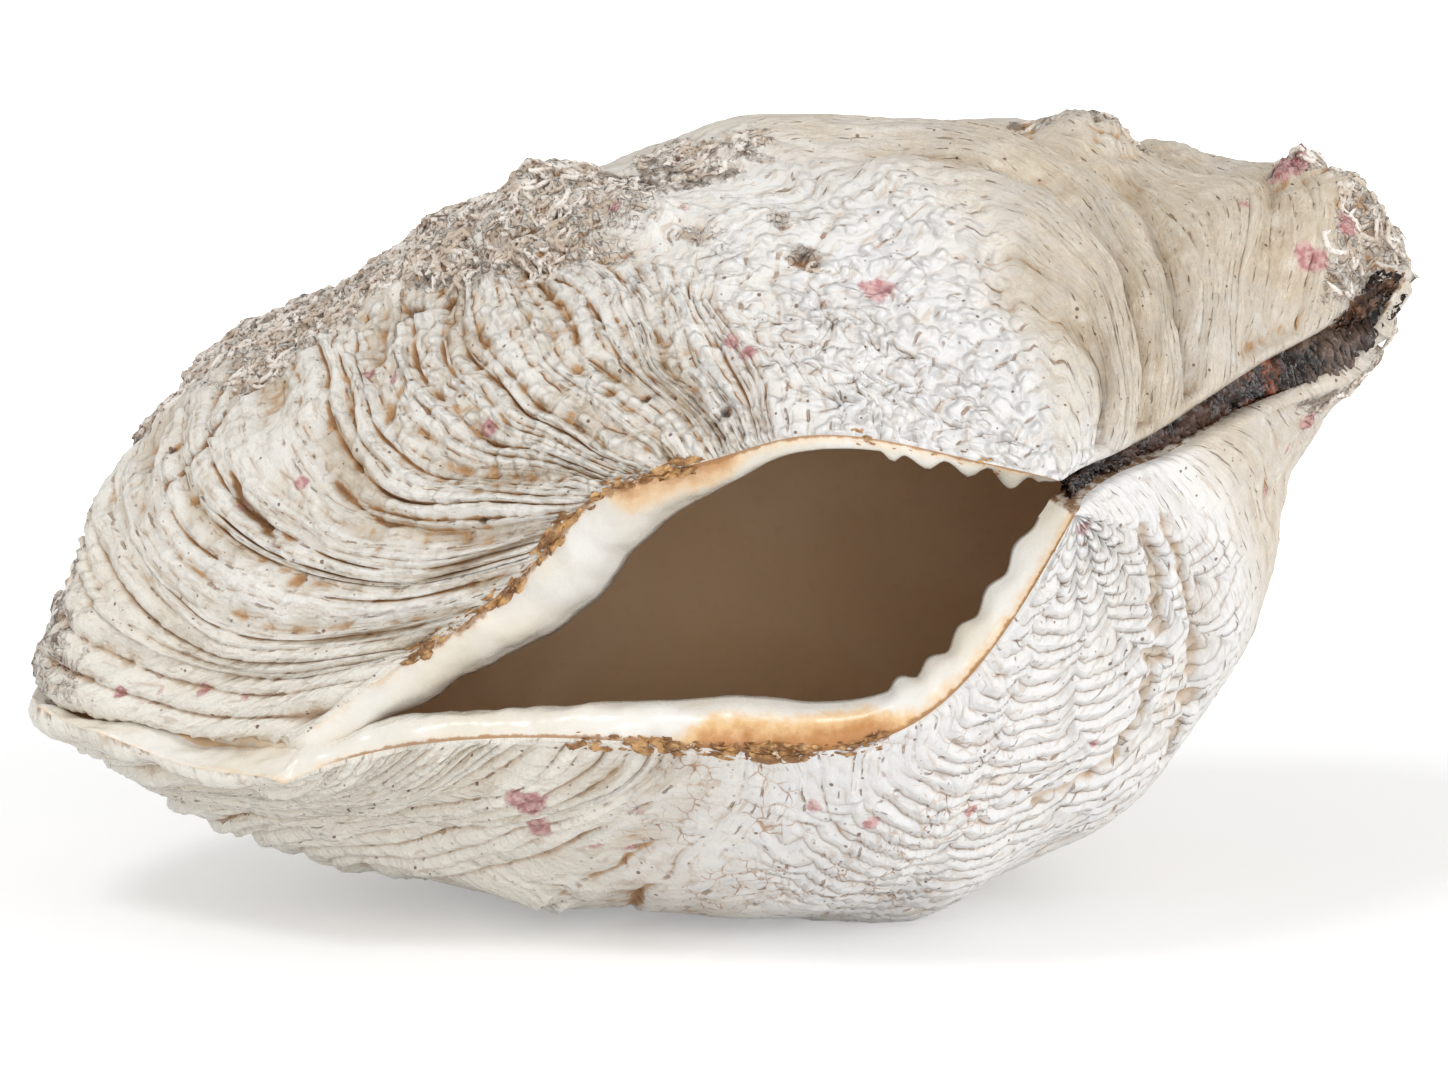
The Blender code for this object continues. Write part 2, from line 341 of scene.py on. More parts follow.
def sagged(side, points, around, growth):
    """The young front edge of the upper valve droops over the lower one and nearly shuts the slit."""
    if side > 0:
        droop = smooth_step(0.90, 1.0, growth) * smooth_step(0.70, 0.84, around)
        points[..., 2] -= MARGIN_SAG * droop
    return points


print("fold height at the margin", round(float(np.abs(fold_lift(np.linspace(0, 1, 99), 1.0)).max()), 1))

# %% [markdown]
# ## Growth coordinates
# The mesh rows are the growth lines themselves. A clam thickens in steps, so the surface is a stack
# of lamellae: rounded rolls with a sharp crevice between one and the next. If the rows ran at even
# steps, each crevice would fall between two rows and blur. Here every lamella gets five rows at
# fixed phases and the rows wander together, so the crevices stay sharp while the rolls wave,
# squeeze and splay as they do on a real shell.

# %% Lamellae and rows
LAMELLAE = 54
ROW_PHASES = (0.0, 0.12, 0.36, 0.64, 0.88)
COLUMN_SHARES = {1: ((0.0, 0.0), (0.26, 0.25), (0.6, 0.45), (1.0, 1.0)),
                 -1: ((0.0, 0.0), (0.36, 0.34), (0.7, 0.55), (1.0, 1.0))}
COLUMNS = 320
WIDENING = {1: (0.75, 0.95, 1.0, 1.0, 1.5), -1: (0.7, 0.8, 1.4, 1.3, 1.6)}


def random_field(seed, shape, around, growth):
    """A smooth field from a seeded net of random heights, read anywhere on the valve."""
    heights = np.random.default_rng(seed).normal(size=shape)
    along = spline_weights(np.linspace(0, 1, shape[0]), np.ravel(growth))
    across = spline_weights(np.linspace(0, 1, shape[1]), np.ravel(around))
    return np.einsum("nj,nj->n", along @ heights, across).reshape(np.shape(around))


def lamella_edges(side):
    """Growth of each lamella's lower edge: irregular steps that fill 0 to 1."""
    widths = np.random.default_rng(5 + side).uniform(0.5, 1.6, LAMELLAE)
    widths *= np.interp(np.linspace(0, 1, LAMELLAE), (0, 0.3, 0.5, 0.85, 1), WIDENING[side])
    return np.concatenate(([0], np.cumsum(widths))) / widths.sum()


def course_warp(side, around, growth):
    """How far growth lines leave the even ones, so that they splay from the rim of the gape."""
    ends = np.sin(np.pi * growth)
    wander = 0.011 * random_field(11 + side, (14, 22), around, growth)
    wander += 0.0025 * random_field(31 + side, (34, 44), around, growth)
    if side > 0:
        lean = 0.07 * (smooth_step(0.62, 0.92, around) - 1) * smooth_step(0.95, 0.5, growth)
        return (wander + lean * smooth_step(0.0, 0.5, growth)) * ends
    splay = 0.26 * (1 - smooth_step(0.8, 1.0, around))
    return wander * ends + splay * smooth_step(0.28, 0.55, growth) * (1 - smooth_step(0.5, 1, growth))


def growth_grid(side):
    """Around, growth and lamella count over the whole grid, one row per phase of each lamella."""
    edges = lamella_edges(side)
    counts = [k + phase for k in range(LAMELLAE) for phase in ROW_PHASES] + [float(LAMELLAE)]
    rows = np.interp(counts, np.arange(LAMELLAE + 1), edges)
    places, shares = zip(*COLUMN_SHARES[side])
    columns = np.interp(np.linspace(0, 1, COLUMNS + 1), shares, places)
    around, even = np.meshgrid(columns, rows)
    growth = even + course_warp(side, around, even)
    growth[0] = 0
    growth[-1] = 1
    growth = np.maximum.accumulate(np.clip(growth, 0, 1), axis=0)
    count = np.repeat(np.array(counts)[:, None], COLUMNS + 1, axis=1)
    return around, growth, count


print("rows", LAMELLAE * len(ROW_PHASES) + 1, "columns", COLUMNS + 1)

# %% [markdown]
# ## Zones
# Wear, crust and stains keep to their own parts of the shell. Each zone is a soft mask over the two
# directions, and single marks are balls of influence round a place given the same way.


# %% Zone masks
def band(value, low, high, soft):
    """1 between low and high, fading to 0 over a soft width outside."""
    return smooth_step(low - soft, low, value) * (1 - smooth_step(high, high + soft, value))


def near_marks(points, side, marks, domed=False):
    """The strongest of a list of marks: a soft or a domed hill that ends at its radius."""
    total = np.zeros(points.shape[:-1])
    for around, growth, radius, strength in marks:
        middle, _ = outer_points(side, np.array([around]), np.array([growth]))
        away = np.linalg.norm(points - middle[0], axis=-1) / radius
        shape = np.clip(1 - away * away, 0, 1) if domed else smooth_step(1.0, 0.0, away)
        total = np.maximum(total, strength * shape)
    return total


# Each mark: around, growth, radius in mm, strength (for a knob, its height in mm).
PINK = {1: ((0.657, 0.154, 4.2, 1), (0.883, 0.249, 2.6, 0.9), (0.87, 0.262, 2.4, 0.8),
            (0.900, 0.507, 2.4, 0.9), (0.830, 0.545, 2.2, 0.9), (0.842, 0.53, 2.0, 0.9),
            (0.87, 0.645, 2.4, 0.8), (0.86, 0.70, 2.6, 0.7), (0.065, 0.69, 4.4, 1.0),
            (0.088, 0.77, 4.0, 0.9), (0.13, 0.55, 2.0, 0.7), (0.155, 0.675, 5.0, 1.0),
            (0.893, 0.975, 1.5, 0.9), (0.908, 0.954, 1.5, 0.9), (0.922, 0.933, 1.5, 0.9),
            (0.945, 0.938, 1.5, 0.8), (0.970, 0.943, 1.5, 0.8),
            (0.11, 0.85, 3.0, 0.8), (0.70, 0.30, 2.0, 0.7), (0.66, 0.27, 1.8, 0.7)),
        -1: ((0.940, 0.580, 4.6, 1), (0.915, 0.545, 3.6, 0.9), (0.895, 0.49, 2.6, 0.9),
             (0.89, 0.462, 2.2, 0.8), (0.93, 0.46, 2.4, 0.7), (0.93, 0.305, 2.6, 0.7),
             (0.87, 0.266, 2.4, 0.8), (0.66, 0.20, 2.2, 0.8), (0.40, 0.19, 2.0, 0.6),
             (0.065, 0.665, 2.4, 1.3), (0.085, 0.61, 2.2, 1.0), (0.10, 0.52, 2.0, 0.7),
             (0.21, 0.02, 2.6, 0.7))}
DARK = {1: ((0.815, 0.745, 2.2, 1), (0.845, 0.735, 2.6, 0.6), (0.865, 0.735, 3.0, 0.5),
            (0.67, 0.197, 3.6, 0.45), (0.93, 0.385, 1.6, 0.8), (0.26, 0.577, 2.2, 1),
            (0.96, 0.315, 2.1, 0.8), (0.17, 0.66, 2.4, 0.7), (0.955, 0.62, 1.6, 0.9)),
        -1: ((0.36, 0.24, 5.0, 0.45), (0.41, 0.235, 5.0, 0.4), (0.10, 0.65, 3.0, 0.5))}
CRUSTED = {1: ((0.26, 0.55, 11.0, 0.9), (0.30, 0.46, 7.0, 0.7), (0.16, 0.70, 8.0, 0.9),
               (0.11, 0.80, 8.0, 1.0), (0.08, 0.89, 8.0, 1.0), (0.682, 0.301, 9.0, 0.8),
               (0.585, 0.296, 10.0, 0.75), (0.698, 0.251, 6.0, 0.6), (0.628, 0.224, 5.0, 0.5),
               (0.53, 0.30, 9.0, 0.65), (0.67, 0.197, 4.5, 0.9)),
           -1: ((0.36, 0.24, 4.0, 0.5),)}
KNOBS = {1: ((0.27, 0.49, 9.0, 3.0), (0.25, 0.60, 9.0, 2.2), (0.16, 0.69, 5.4, 2.6),
             (0.118, 0.76, 4.2, 2.2), (0.10, 0.83, 4.2, 2.4), (0.075, 0.88, 3.6, 2.0),
             (0.70, 0.285, 6.0, 1.6), (0.64, 0.38, 7.0, 2.8), (0.66, 0.80, 5.0, 2.0),
             (0.60, 0.62, 6.0, 1.6)),
         -1: ((0.812, 0.512, 4.5, 2.2), (0.83, 0.49, 3.5, 1.6), (0.09, 0.56, 4.0, 1.4),
              (0.065, 0.665, 1.7, 1.5))}
# Each groove: half width in mm, strength, and the places it runs through.
GROOVES = {1: ((0.6, 0.7, ((0.833, 0.69), (0.86, 0.697), (0.90, 0.704), (0.915, 0.70))),
               (0.55, 0.6, ((0.858, 0.622), (0.885, 0.627), (0.912, 0.634), (0.93, 0.63))),
               (0.6, 0.7, ((0.833, 0.754), (0.82, 0.697), (0.80, 0.662), (0.77, 0.567), (0.797, 0.463),
                           (0.753, 0.388), (0.723, 0.336)))),
           -1: ((1.7, 0.8, ((0.10, 0.14), (0.195, 0.152), (0.25, 0.179), (0.295, 0.214), (0.375, 0.241),
                            (0.495, 0.219))),
                (1.7, 0.8, ((0.068, 0.204), (0.163, 0.216), (0.223, 0.251), (0.28, 0.301),
                            (0.34, 0.341))))}
GROOVE_SAMPLES = 90


def near_grooves(points, side, wander):
    """Depth shares of single grooves that run over the surface: 1 on the line, 0 at its half width."""
    total = np.zeros(points.shape[:-1])
    for width, strength, path in GROOVES[side]:
        shares = np.linspace(0, len(path) - 1, GROOVE_SAMPLES)
        around, growth = (np.interp(shares, range(len(path)), knots) for knots in zip(*path))
        line, _ = outer_points(side, around, growth)
        away = np.full(points.shape[:-1], np.inf)
        for place in line:
            away = np.minimum(away, np.linalg.norm(points - place, axis=-1))
        ragged = np.maximum(away + 0.5 * wander, 0) / width
        total = np.maximum(total, strength * smooth_step(1.0, 0.2, ragged))
    return total


def zones_of(side, around, growth, points):
    """Every mask that the relief and the finish read, by the name of its attribute."""
    rim = smooth_step(0.0, 0.012, 1 - around) * smooth_step(0.0, 0.02, around)
    calm = rim * smooth_step(0.0, 0.05, growth)
    if side > 0:
        ragged = around + 0.022 * random_field(61, (13, 30), around, growth)
        crust = band(ragged, 0.60, 0.76, 0.045) * smooth_step(0.24, 0.36, growth)
        crust = np.maximum(crust, 0.5 * band(around, 0.78, 0.84, 0.05) * smooth_step(0.86, 0.95, growth))
        crust = np.maximum(crust, 0.6 * band(around, 0.04, 0.14, 0.04) * band(growth, 0.76, 0.97, 0.06))
        chalk = smooth_step(0.42, 0.12, growth) * smooth_step(0.28, 0.55, around)
        chalk = np.maximum(chalk, 0.9 * smooth_step(0.34, 0.0, growth + 0.8 * around))
        rolls = smooth_step(0.76, 0.80, around) * smooth_step(0.22, 0.32, growth)
        scales = band(around, 0.74, 0.94, 0.05) * band(growth, 0.05, 0.24, 0.03)
        blocks = np.zeros_like(around)
        lobes = np.zeros_like(around)
        waves = smooth_step(0.62, 0.42, around) * smooth_step(0.04, 0.12, growth)
        waves = waves * (1 - 0.7 * smooth_step(0.72, 0.86, growth))
        young = smooth_step(0.78, 0.88, growth) * smooth_step(0.72, 0.80, around)
        sculpt = smooth_step(0.72, 0.79, around) * smooth_step(0.2, 0.3, growth)
        sculpt = sculpt * (1 - 0.55 * smooth_step(0.52, 0.64, growth))
        sculpt = np.maximum(sculpt, 0.15 * smooth_step(0.06, 0.2, growth)) * (1 - 0.85 * young)
    else:
        crust = 0.6 * band(around, 0.03, 0.07, 0.02) * band(growth, 0.68, 0.9, 0.05)
        chalk = smooth_step(0.5, 0.3, growth)
        rolls = smooth_step(0.5, 0.66, around) * smooth_step(0.38, 0.5, growth)
        scales = band(around, 0.14, 0.86, 0.1) * band(growth, 0.03, 0.34, 0.05)
        blocks = smooth_step(0.5, 0.7, around) * band(growth, 0.14, 0.44, 0.06)
        waves = smooth_step(0.42, 0.25, around) * smooth_step(0.04, 0.15, growth)
        young = smooth_step(0.44, 0.56, growth) * smooth_step(0.62, 0.76, around)
        sculpt = 0.1 * (1 - scales) * (1 - 0.6 * young)
        lobes = smooth_step(0.90, 0.97, growth) * smooth_step(0.55, 0.7, around)
        calm = calm * (1 - 0.85 * lobes)
        young = np.maximum(young, lobes)
    if side > 0:
        amber = 0.8 * band(growth, 0.36, 0.52, 0.06) + 0.25 * smooth_step(0.5, 0.3, growth)
    else:
        amber = band(growth, 0.24, 0.4, 0.07) + 0.3 * smooth_step(0.35, 0.2, growth)
    crust = np.maximum(crust, near_marks(points, side, CRUSTED[side]))
    wander = random_field(71, (60, 80), around, growth)
    return {"lobes": lobes, "amber": amber, "sculpt": sculpt, "calm": calm, "crust": crust,
            "chalk": chalk, "rolls": rolls, "scales": scales, "blocks": blocks, "waves": waves,
            "young": young, "groove": near_grooves(points, side, wander),
            "pink": near_marks(points, side, PINK[side]),
            "dark": near_marks(points, side, DARK[side]),
            "knobs": near_marks(points, side, KNOBS[side], domed=True)}


MARKS = (PINK, DARK, CRUSTED, KNOBS, GROOVES)
print("marks", {side: sum(len(marks[side]) for marks in MARKS) for side in (1, -1)})

# %% [markdown]
# ## The plain valves
# One closed mesh per valve: the fine outer face, a rounded lip along the hinge, the margin and the
# gape, and a coarse inner face, because the inside is smooth and only its lip is seen close up.
# The masks are stored on the points, where Geometry Nodes and the materials can both read them.

# %% Valve mesh
LIP_ROWS = 10
INNER_STEP = 5
GAPE_BULGE = {1: (0, -1.6, -1.2), -1: (0, -1.6, 1.2)}
OUTER, LIP, INNER = 0.0, 1.0, 2.0
ARCHES_PER_LAMELLA = 0.8
ARCH_STEP = 2.7
ARCH_TURN_RADIUS = 15.0
OUTER_ONLY = {"lobes", "groove", "calm", "crust", "chalk", "rolls", "scales", "blocks", "waves", "knobs",
              "sculpt", "young"}


def add_attribute(mesh, label, values, domain="POINT"):
    attribute = mesh.attributes.new(label, "FLOAT", domain)
    attribute.data.foreach_set("value", np.asarray(values, np.float32))


def arc_course(points):
    """Length along each growth line, in mm, measured from the rim of the gape."""
    steps = np.linalg.norm(np.diff(points, axis=1), axis=-1)[:, ::-1]
    lengths = np.concatenate((np.zeros((len(points), 1)), np.cumsum(steps, axis=1)), axis=1)
    return lengths[:, ::-1]


ROUNDING = {"gape": 0.7, "hinge": 2.4, "margin": 2.6}
TOOTH_PITCH = {1: 0.033, -1: 0.036}
TOOTH_REACH = {1: (0.015, 0.125), -1: (0.02, 0.19)}
TOOTH_HEIGHT = {1: 2.8, -1: 1.5}
TOOTH_LEAN = {1: (0.2, -0.6, -1.2), -1: (0.0, 0.0, 0.0)}


def teeth(side, growth):
    """Small rounded teeth on the inner edge of the lip close to the beak, as heights in mm."""
    first, last = TOOTH_REACH[side]
    wave = np.maximum(np.sin(np.pi * (growth - first) / TOOTH_PITCH[side]) ** 2, 0) ** 0.8
    return TOOTH_HEIGHT[side] * wave * band(growth, first, last, 0.012)


def roll_over(away, radius):
    """How far a rounded edge of this radius falls away from the flat, by distance from the rim."""
    short = np.clip(1 - away / radius, 0, 1)
    return radius * (1 - np.sqrt(1 - short * short))


def rounded_outer(side, around, growth):
    """Outer points with their three rims rolled over, and the masks of those rims."""
    points, normals = outer_points(side, around, growth)
    from_gape = arc_course(points)
    from_hinge = from_gape[:, :1] - from_gape
    from_margin = arc_course(points.transpose(1, 0, 2)).T
    fall = roll_over(from_gape, ROUNDING["gape"]) + roll_over(from_hinge, ROUNDING["hinge"])
    fall = np.maximum(fall, roll_over(from_margin, ROUNDING["margin"]))
    fall = fall * smooth_step(0, 0.08, growth)
    points = points - normals * fall[..., None]
    points[..., 2] = np.maximum(points[..., 2], 0)
    return sagged(side, points, around, growth), from_margin


def lamella_widths(from_margin):
    """Width in mm of the lamella round each point, read from two rows a whole lamella apart."""
    whole = len(ROW_PHASES)
    low = np.clip(np.arange(len(from_margin)) - whole // 2, 0, len(from_margin) - 1 - whole)
    return from_margin[low] - from_margin[low + whole]


NARROW_LAMELLA = 0.5
FULL_LAMELLA = 1.7


def rim_border(rows, columns):
    """Grid places round the rim from the beak: along the hinge, the margin and back up the gape."""
    border = [(0, 0)] + [(row, 0) for row in range(1, rows + 1)]
    border += [(rows, column) for column in range(1, columns + 1)]
    border += [(row, columns) for row in range(rows - 1, 0, -1)]
    return np.array(border)


def lip_rings(side, rim, inside, growth, at_gape):
    """Rings of points from the outer rim to the inner one, bulging along the gape."""
    taper = smooth_step(0, 0.12, growth) * at_gape
    bulge = taper[:, None] * np.array(GAPE_BULGE[side], float)
    shares = [row / LIP_ROWS for row in range(1, LIP_ROWS + 1)]
    return [rim * (1 - share) + inside * share + math.sin(math.pi * share) * bulge for share in shares]


def inner_faces(inner_ids, ring):
    """Coarse inner cells, each taking in every fine point of the rim that lies along its edge."""
    order = {value: k for k, value in enumerate(ring)}

    def run(a, b):
        if a in order and b in order and 0 < abs(order[a] - order[b]) <= INNER_STEP:
            step = 1 if order[b] > order[a] else -1
            return [ring[k] for k in range(order[a], order[b], step)]
        return [a]

    faces = []
    for i in range(inner_ids.shape[0] - 1):
        for j in range(inner_ids.shape[1] - 1):
            cell = [inner_ids[i, j], inner_ids[i, j + 1], inner_ids[i + 1, j + 1], inner_ids[i + 1, j]]
            faces.append([point for a, b in zip(cell, cell[1:] + cell[:1]) for point in run(a, b)])
    return faces


def stored_values(side, around, growth, count, outer, from_margin):
    """Everything that is stored on the outer points, by the name of its attribute."""
    stored = zones_of(side, around, growth, outer)
    if side < 0:
        # Lamellae squeezed together at the tip are too narrow to carry rolls of the full height.
        stored["rolls"] *= smooth_step(NARROW_LAMELLA, FULL_LAMELLA, lamella_widths(from_margin))
    stored["hinge"] = np.broadcast_to(around == 0, around.shape).astype(float)
    stored["growth"] = growth
    stored["count"] = count
    course = arc_course(outer)
    stored["course"] = course
    # Scales stack up with growth on the upper valve, and away from the beak on the lower one.
    if side > 0:
        stored["stack"] = count * ARCHES_PER_LAMELLA
        stored["across"] = course
    else:
        from_beak = outer - outer[0, 0]
        stored["stack"] = np.linalg.norm(from_beak, axis=-1) / ARCH_STEP
        stored["across"] = np.arctan2(from_beak[..., 0], -from_beak[..., 2]) * ARCH_TURN_RADIUS
    return stored


def store_on(mesh, stored, edge, loose_count):
    """Writes the values of the outer points, repeats them down the lip and leaves the inside 0."""
    inside = np.zeros(loose_count)
    for label, values in stored.items():
        on_lip = np.tile(values[edge] * (0 if label in OUTER_ONLY else 1), LIP_ROWS)
        add_attribute(mesh, label, np.concatenate((values.ravel(), on_lip, inside)))
    outer_count = stored["count"].size
    size = len(edge[0])
    add_attribute(mesh, "zone", np.repeat((OUTER, LIP, INNER), (outer_count, size * LIP_ROWS, loose_count)))
    shares = np.repeat(np.arange(1, LIP_ROWS + 1) / LIP_ROWS, size)
    add_attribute(mesh, "lip_share", np.concatenate((np.zeros(outer_count), shares, inside + 1)))


def plain_valve(name, side):
    around, growth, count = growth_grid(side)
    outer, from_margin = rounded_outer(side, around, growth)
    rows, columns = around.shape[0] - 1, around.shape[1] - 1
    border = rim_border(rows, columns)
    edge = tuple(border.T)
    at_gape = (border[:, 1] == columns) & (border[:, 0] < rows)
    inside = sagged(side, inner_points(side, around[edge], growth[edge]), around[edge], growth[edge])
    tooth_way = unit(unit(inside - outer[edge]) + TOOTH_LEAN[side])
    inside += tooth_way * (teeth(side, growth[edge]) * at_gape)[:, None]
    lips = lip_rings(side, outer[edge], inside, growth[edge], at_gape)

    inner_rows = np.unique(np.append(np.arange(0, rows, INNER_STEP), rows))
    inner_columns = np.unique(np.append(np.arange(0, columns, INNER_STEP), columns))
    coarse = np.ix_(inner_rows, inner_columns)
    inner = sagged(side, inner_points(side, around[coarse], growth[coarse]), around[coarse], growth[coarse])

    grid_ids = np.arange((rows + 1) * (columns + 1)).reshape(rows + 1, columns + 1)
    grid_ids[0] = grid_ids[0, 0]
    start = outer.size // 3
    size = len(border)
    lip_ids = [grid_ids[edge]] + [start + row * size + np.arange(size) for row in range(LIP_ROWS)]
    start += LIP_ROWS * size
    rim_of = {tuple(place): lip_ids[-1][k] for k, place in enumerate(border)}
    inner_ids = np.zeros(inner.shape[:2], int)
    loose = []
    for i, row in enumerate(inner_rows):
        for j, column in enumerate(inner_columns):
            place = (0, 0) if row == 0 else (row, column)
            if place in rim_of:
                inner_ids[i, j] = rim_of[place]
            else:
                inner_ids[i, j] = start + len(loose)
                loose.append(inner[i, j])
    places = np.concatenate([outer.reshape(-1, 3), *lips, np.array(loose)])

    corners = np.stack((grid_ids[:-1, :-1], grid_ids[1:, :-1], grid_ids[1:, 1:], grid_ids[:-1, 1:]), -1)
    faces = corners.reshape(-1, 4).tolist()
    parts = [OUTER] * len(faces) + [LIP] * (size * LIP_ROWS)
    for low, high in zip(lip_ids, lip_ids[1:]):
        faces += np.stack((low, high, np.roll(high, -1), np.roll(low, -1)), -1).tolist()
    faces += inner_faces(inner_ids, lip_ids[-1])
    parts += [INNER] * (len(faces) - len(parts))
    faces = [[c for k, c in enumerate(face) if c != face[k - 1]] for face in faces]
    parts = [part for part, face in zip(parts, faces) if len(face) > 2]
    faces = [face if side > 0 else face[::-1] for face in faces if len(face) > 2]

    mesh = bpy.data.meshes.new(name)
    mesh.from_pydata((places * MM).tolist(), [], faces)
    store_on(mesh, stored_values(side, around, growth, count, outer, from_margin), edge, len(loose))
    add_attribute(mesh, "part", parts, "FACE")
    mesh.validate()
    mesh.shade_smooth()
    made = bpy.data.objects.new(name, mesh)
    bpy.context.scene.collection.objects.link(made)
    return made


plain = {side: plain_valve(name, side) for side, name in ((1, "upper_skin"), (-1, "lower_skin"))}
for side, skin in plain.items():
    print(skin.name, len(skin.data.polygons), "faces")

# %% [markdown]
# ## Growth relief with Geometry Nodes
# Every bump on the shell follows a rule: rolls repeat along the growth count, scales stack up the
# ribs, cracks cut the old chalky skin into blocks, and worms and crust cover the crest. One node
# tree holds all of them, each with its own height in millimetres and masked by its zone. Sculpting
# by hand would give the same look once, but a tree can be retuned for each valve.

# %% Tree helpers
def new_tree(name, inputs):
    """A Geometry Nodes group with a geometry socket and one named input per entry."""
    tree = bpy.data.node_groups.new(name, "GeometryNodeTree")
    kinds = {bpy.types.Material: "NodeSocketMaterial", int: "NodeSocketInt", float: "NodeSocketFloat"}
    tree.interface.new_socket("Geometry", in_out="INPUT", socket_type="NodeSocketGeometry")
    for label, value in inputs.items():
        kind = next(kinds[known] for known in kinds if isinstance(value, known))
        socket = tree.interface.new_socket(label, in_out="INPUT", socket_type=kind)
        if kind != "NodeSocketMaterial":
            socket.default_value = value
    tree.interface.new_socket("Geometry", in_out="OUTPUT", socket_type="NodeSocketGeometry")
    return tree, node(tree, "NodeGroupInput").outputs


def grow(name, base, tree, values):
    """Runs a tree on a base object and returns its result as a plain mesh object."""
    modifier = base.modifiers.new(tree.name, "NODES")
    modifier.node_group = tree
    for item in tree.interface.items_tree:
        if item.in_out == "INPUT" and item.name in values:
            modifier[item.identifier] = values[item.name]
    graph = bpy.context.evaluated_depsgraph_get()
    mesh = bpy.data.meshes.new_from_object(base.evaluated_get(graph))
    mesh.name = name
    base.modifiers.clear()
    made = bpy.data.objects.new(name, mesh)
    bpy.context.scene.collection.objects.link(made)
    return made


def named(tree, label, kind="FLOAT"):
    return node(tree, "GeometryNodeInputNamedAttribute", {"Name": label}, data_type=kind).outputs[0]


def combine(tree, x, y, z=0.0):
    return node(tree, "ShaderNodeCombineXYZ", {0: x, 1: y, 2: z}).outputs[0]


def noise(tree, place, scale, detail=2.0, rough=0.5, warp=0.0, dimensions="3D"):
    """Noise between 0 and 1 whose features repeat about once per unit of place / scale."""
    made = node(tree, "ShaderNodeTexNoise", {"Vector": place, "Scale": scale, "Detail": detail,
                                             "Roughness": rough, "Distortion": warp},
                noise_dimensions=dimensions)
    return made.outputs[0]


def voronoi(tree, place, scale, feature="F1", smooth=None, jitter=1.0):
    inputs = {"Vector": place, "Scale": scale, "Randomness": jitter}
    if smooth is not None:
        inputs["Smoothness"] = smooth
    return node(tree, "ShaderNodeTexVoronoi", inputs, feature=feature).outputs


def noise_colour(tree, place, scale, detail=2.0):
    """Three noises at once, one per axis, to bend or shake a place with."""
    return node(tree, "ShaderNodeTexNoise", {"Vector": place, "Scale": scale, "Detail": detail}).outputs[1]


def vector_node(tree, operation, a, b=None, c=None, factor=None):
    """Vector math; the factor is for SCALE only."""
    inputs = {0: a, 1: b, 2: c} if factor is None else {0: a, "Scale": factor}
    return node(tree, "ShaderNodeVectorMath", inputs, operation=operation).outputs[0]


def product(tree, *values):
    result = values[0]
    for value in values[1:]:
        result = math_node(tree, "MULTIPLY", result, value)
    return result


def total(tree, *values):
    result = values[0]
    for value in values[1:]:
        result = math_node(tree, "ADD", result, value)
    return result


def less(tree, a, b):
    return math_node(tree, "SUBTRACT", a, b)


def blend(tree, share, a, b):
    """a where share is 0, b where it is 1."""
    return total(tree, a, product(tree, share, less(tree, b, a)))


def position(tree):
    return node(tree, "GeometryNodeInputPosition").outputs[0]


def store(tree, geometry, label, value, kind="FLOAT"):
    inputs = {"Geometry": geometry, "Name": label, "Value": value}
    return node(tree, "GeometryNodeStoreNamedAttribute", inputs, data_type=kind, domain="POINT").outputs[0]


def push_out(tree, geometry, height):
    """Moves every point along its normal by a height in mm."""
    normal = node(tree, "GeometryNodeInputNormal").outputs[0]
    offset = vector_node(tree, "SCALE", normal, factor=product(tree, height, MM))
    return node(tree, "GeometryNodeSetPosition", {"Geometry": geometry, "Offset": offset}).outputs[0]


def shake(tree, geometry, scale, reach, detail=2.0):
    """Moves every point by noise, up to half the reach each way."""
    way = vector_node(tree, "SUBTRACT", noise_colour(tree, position(tree), scale, detail), (0.5, 0.5, 0.5))
    offset = vector_node(tree, "SCALE", way, factor=reach)
    return node(tree, "GeometryNodeSetPosition", {"Geometry": geometry, "Offset": offset}).outputs[0]


def hold_between(tree, geometry, lowest, highest):
    """Keeps every point between two corners, so that nothing passes the fixed frame's box."""
    held = vector_node(tree, "MAXIMUM", position(tree), lowest)
    held = vector_node(tree, "MINIMUM", held, highest)
    return node(tree, "GeometryNodeSetPosition", {"Geometry": geometry, "Position": held}).outputs[0]


def put_out(tree, geometry, finish):
    """Ends a tree: real geometry with one material."""
    real = node(tree, "GeometryNodeRealizeInstances", {"Geometry": geometry}).outputs[0]
    dressed = node(tree, "GeometryNodeSetMaterial", {"Geometry": real, "Material": finish})
    node(tree, "NodeGroupOutput", {0: dressed.outputs[0]})
    return tree


print("tree helpers ready")

# %% Relief tree
ROLL_PROFILE = ((0.0, 0.0), (0.06, 0.42), (0.18, 0.78), (0.42, 1.0), (0.68, 0.96), (0.88, 0.66), (1.0, 0.0))
YOUNG_PROFILE = ((0.0, 0.0), (0.12, 0.5), (0.36, 0.96), (0.64, 0.96), (0.88, 0.5), (1.0, 0.0))
COMB_TIDY = 0.5
RELIEF_SIZES = {"Roll Height": 1.9, "Roll Swell": 1.7, "Broad Height": 8.0, "Crinkle Height": 2.0,
                "Riblet Height": 0.35, "Comb Height": 0.6, "Comb Steps": 1.25, "Scale Width": 5.0,
                "Scale Bow": 3.4, "Scale Height": 0.85, "Scale Tidy": 0.6, "Lump Height": 0.7,
                "Block Size": 3.0, "Crack Depth": 0.7, "Crust Height": 1.3, "Crust Grain": 3.4,
                "Wave Depth": 3.2, "Fine Height": 0.3, "Pit Depth": 1.4, "Groove Depth": 1.8,
                "Blob Height": 0.75, "Reach X": 99.9, "Reach Y": 60.2, "Reach Z": 113.0}


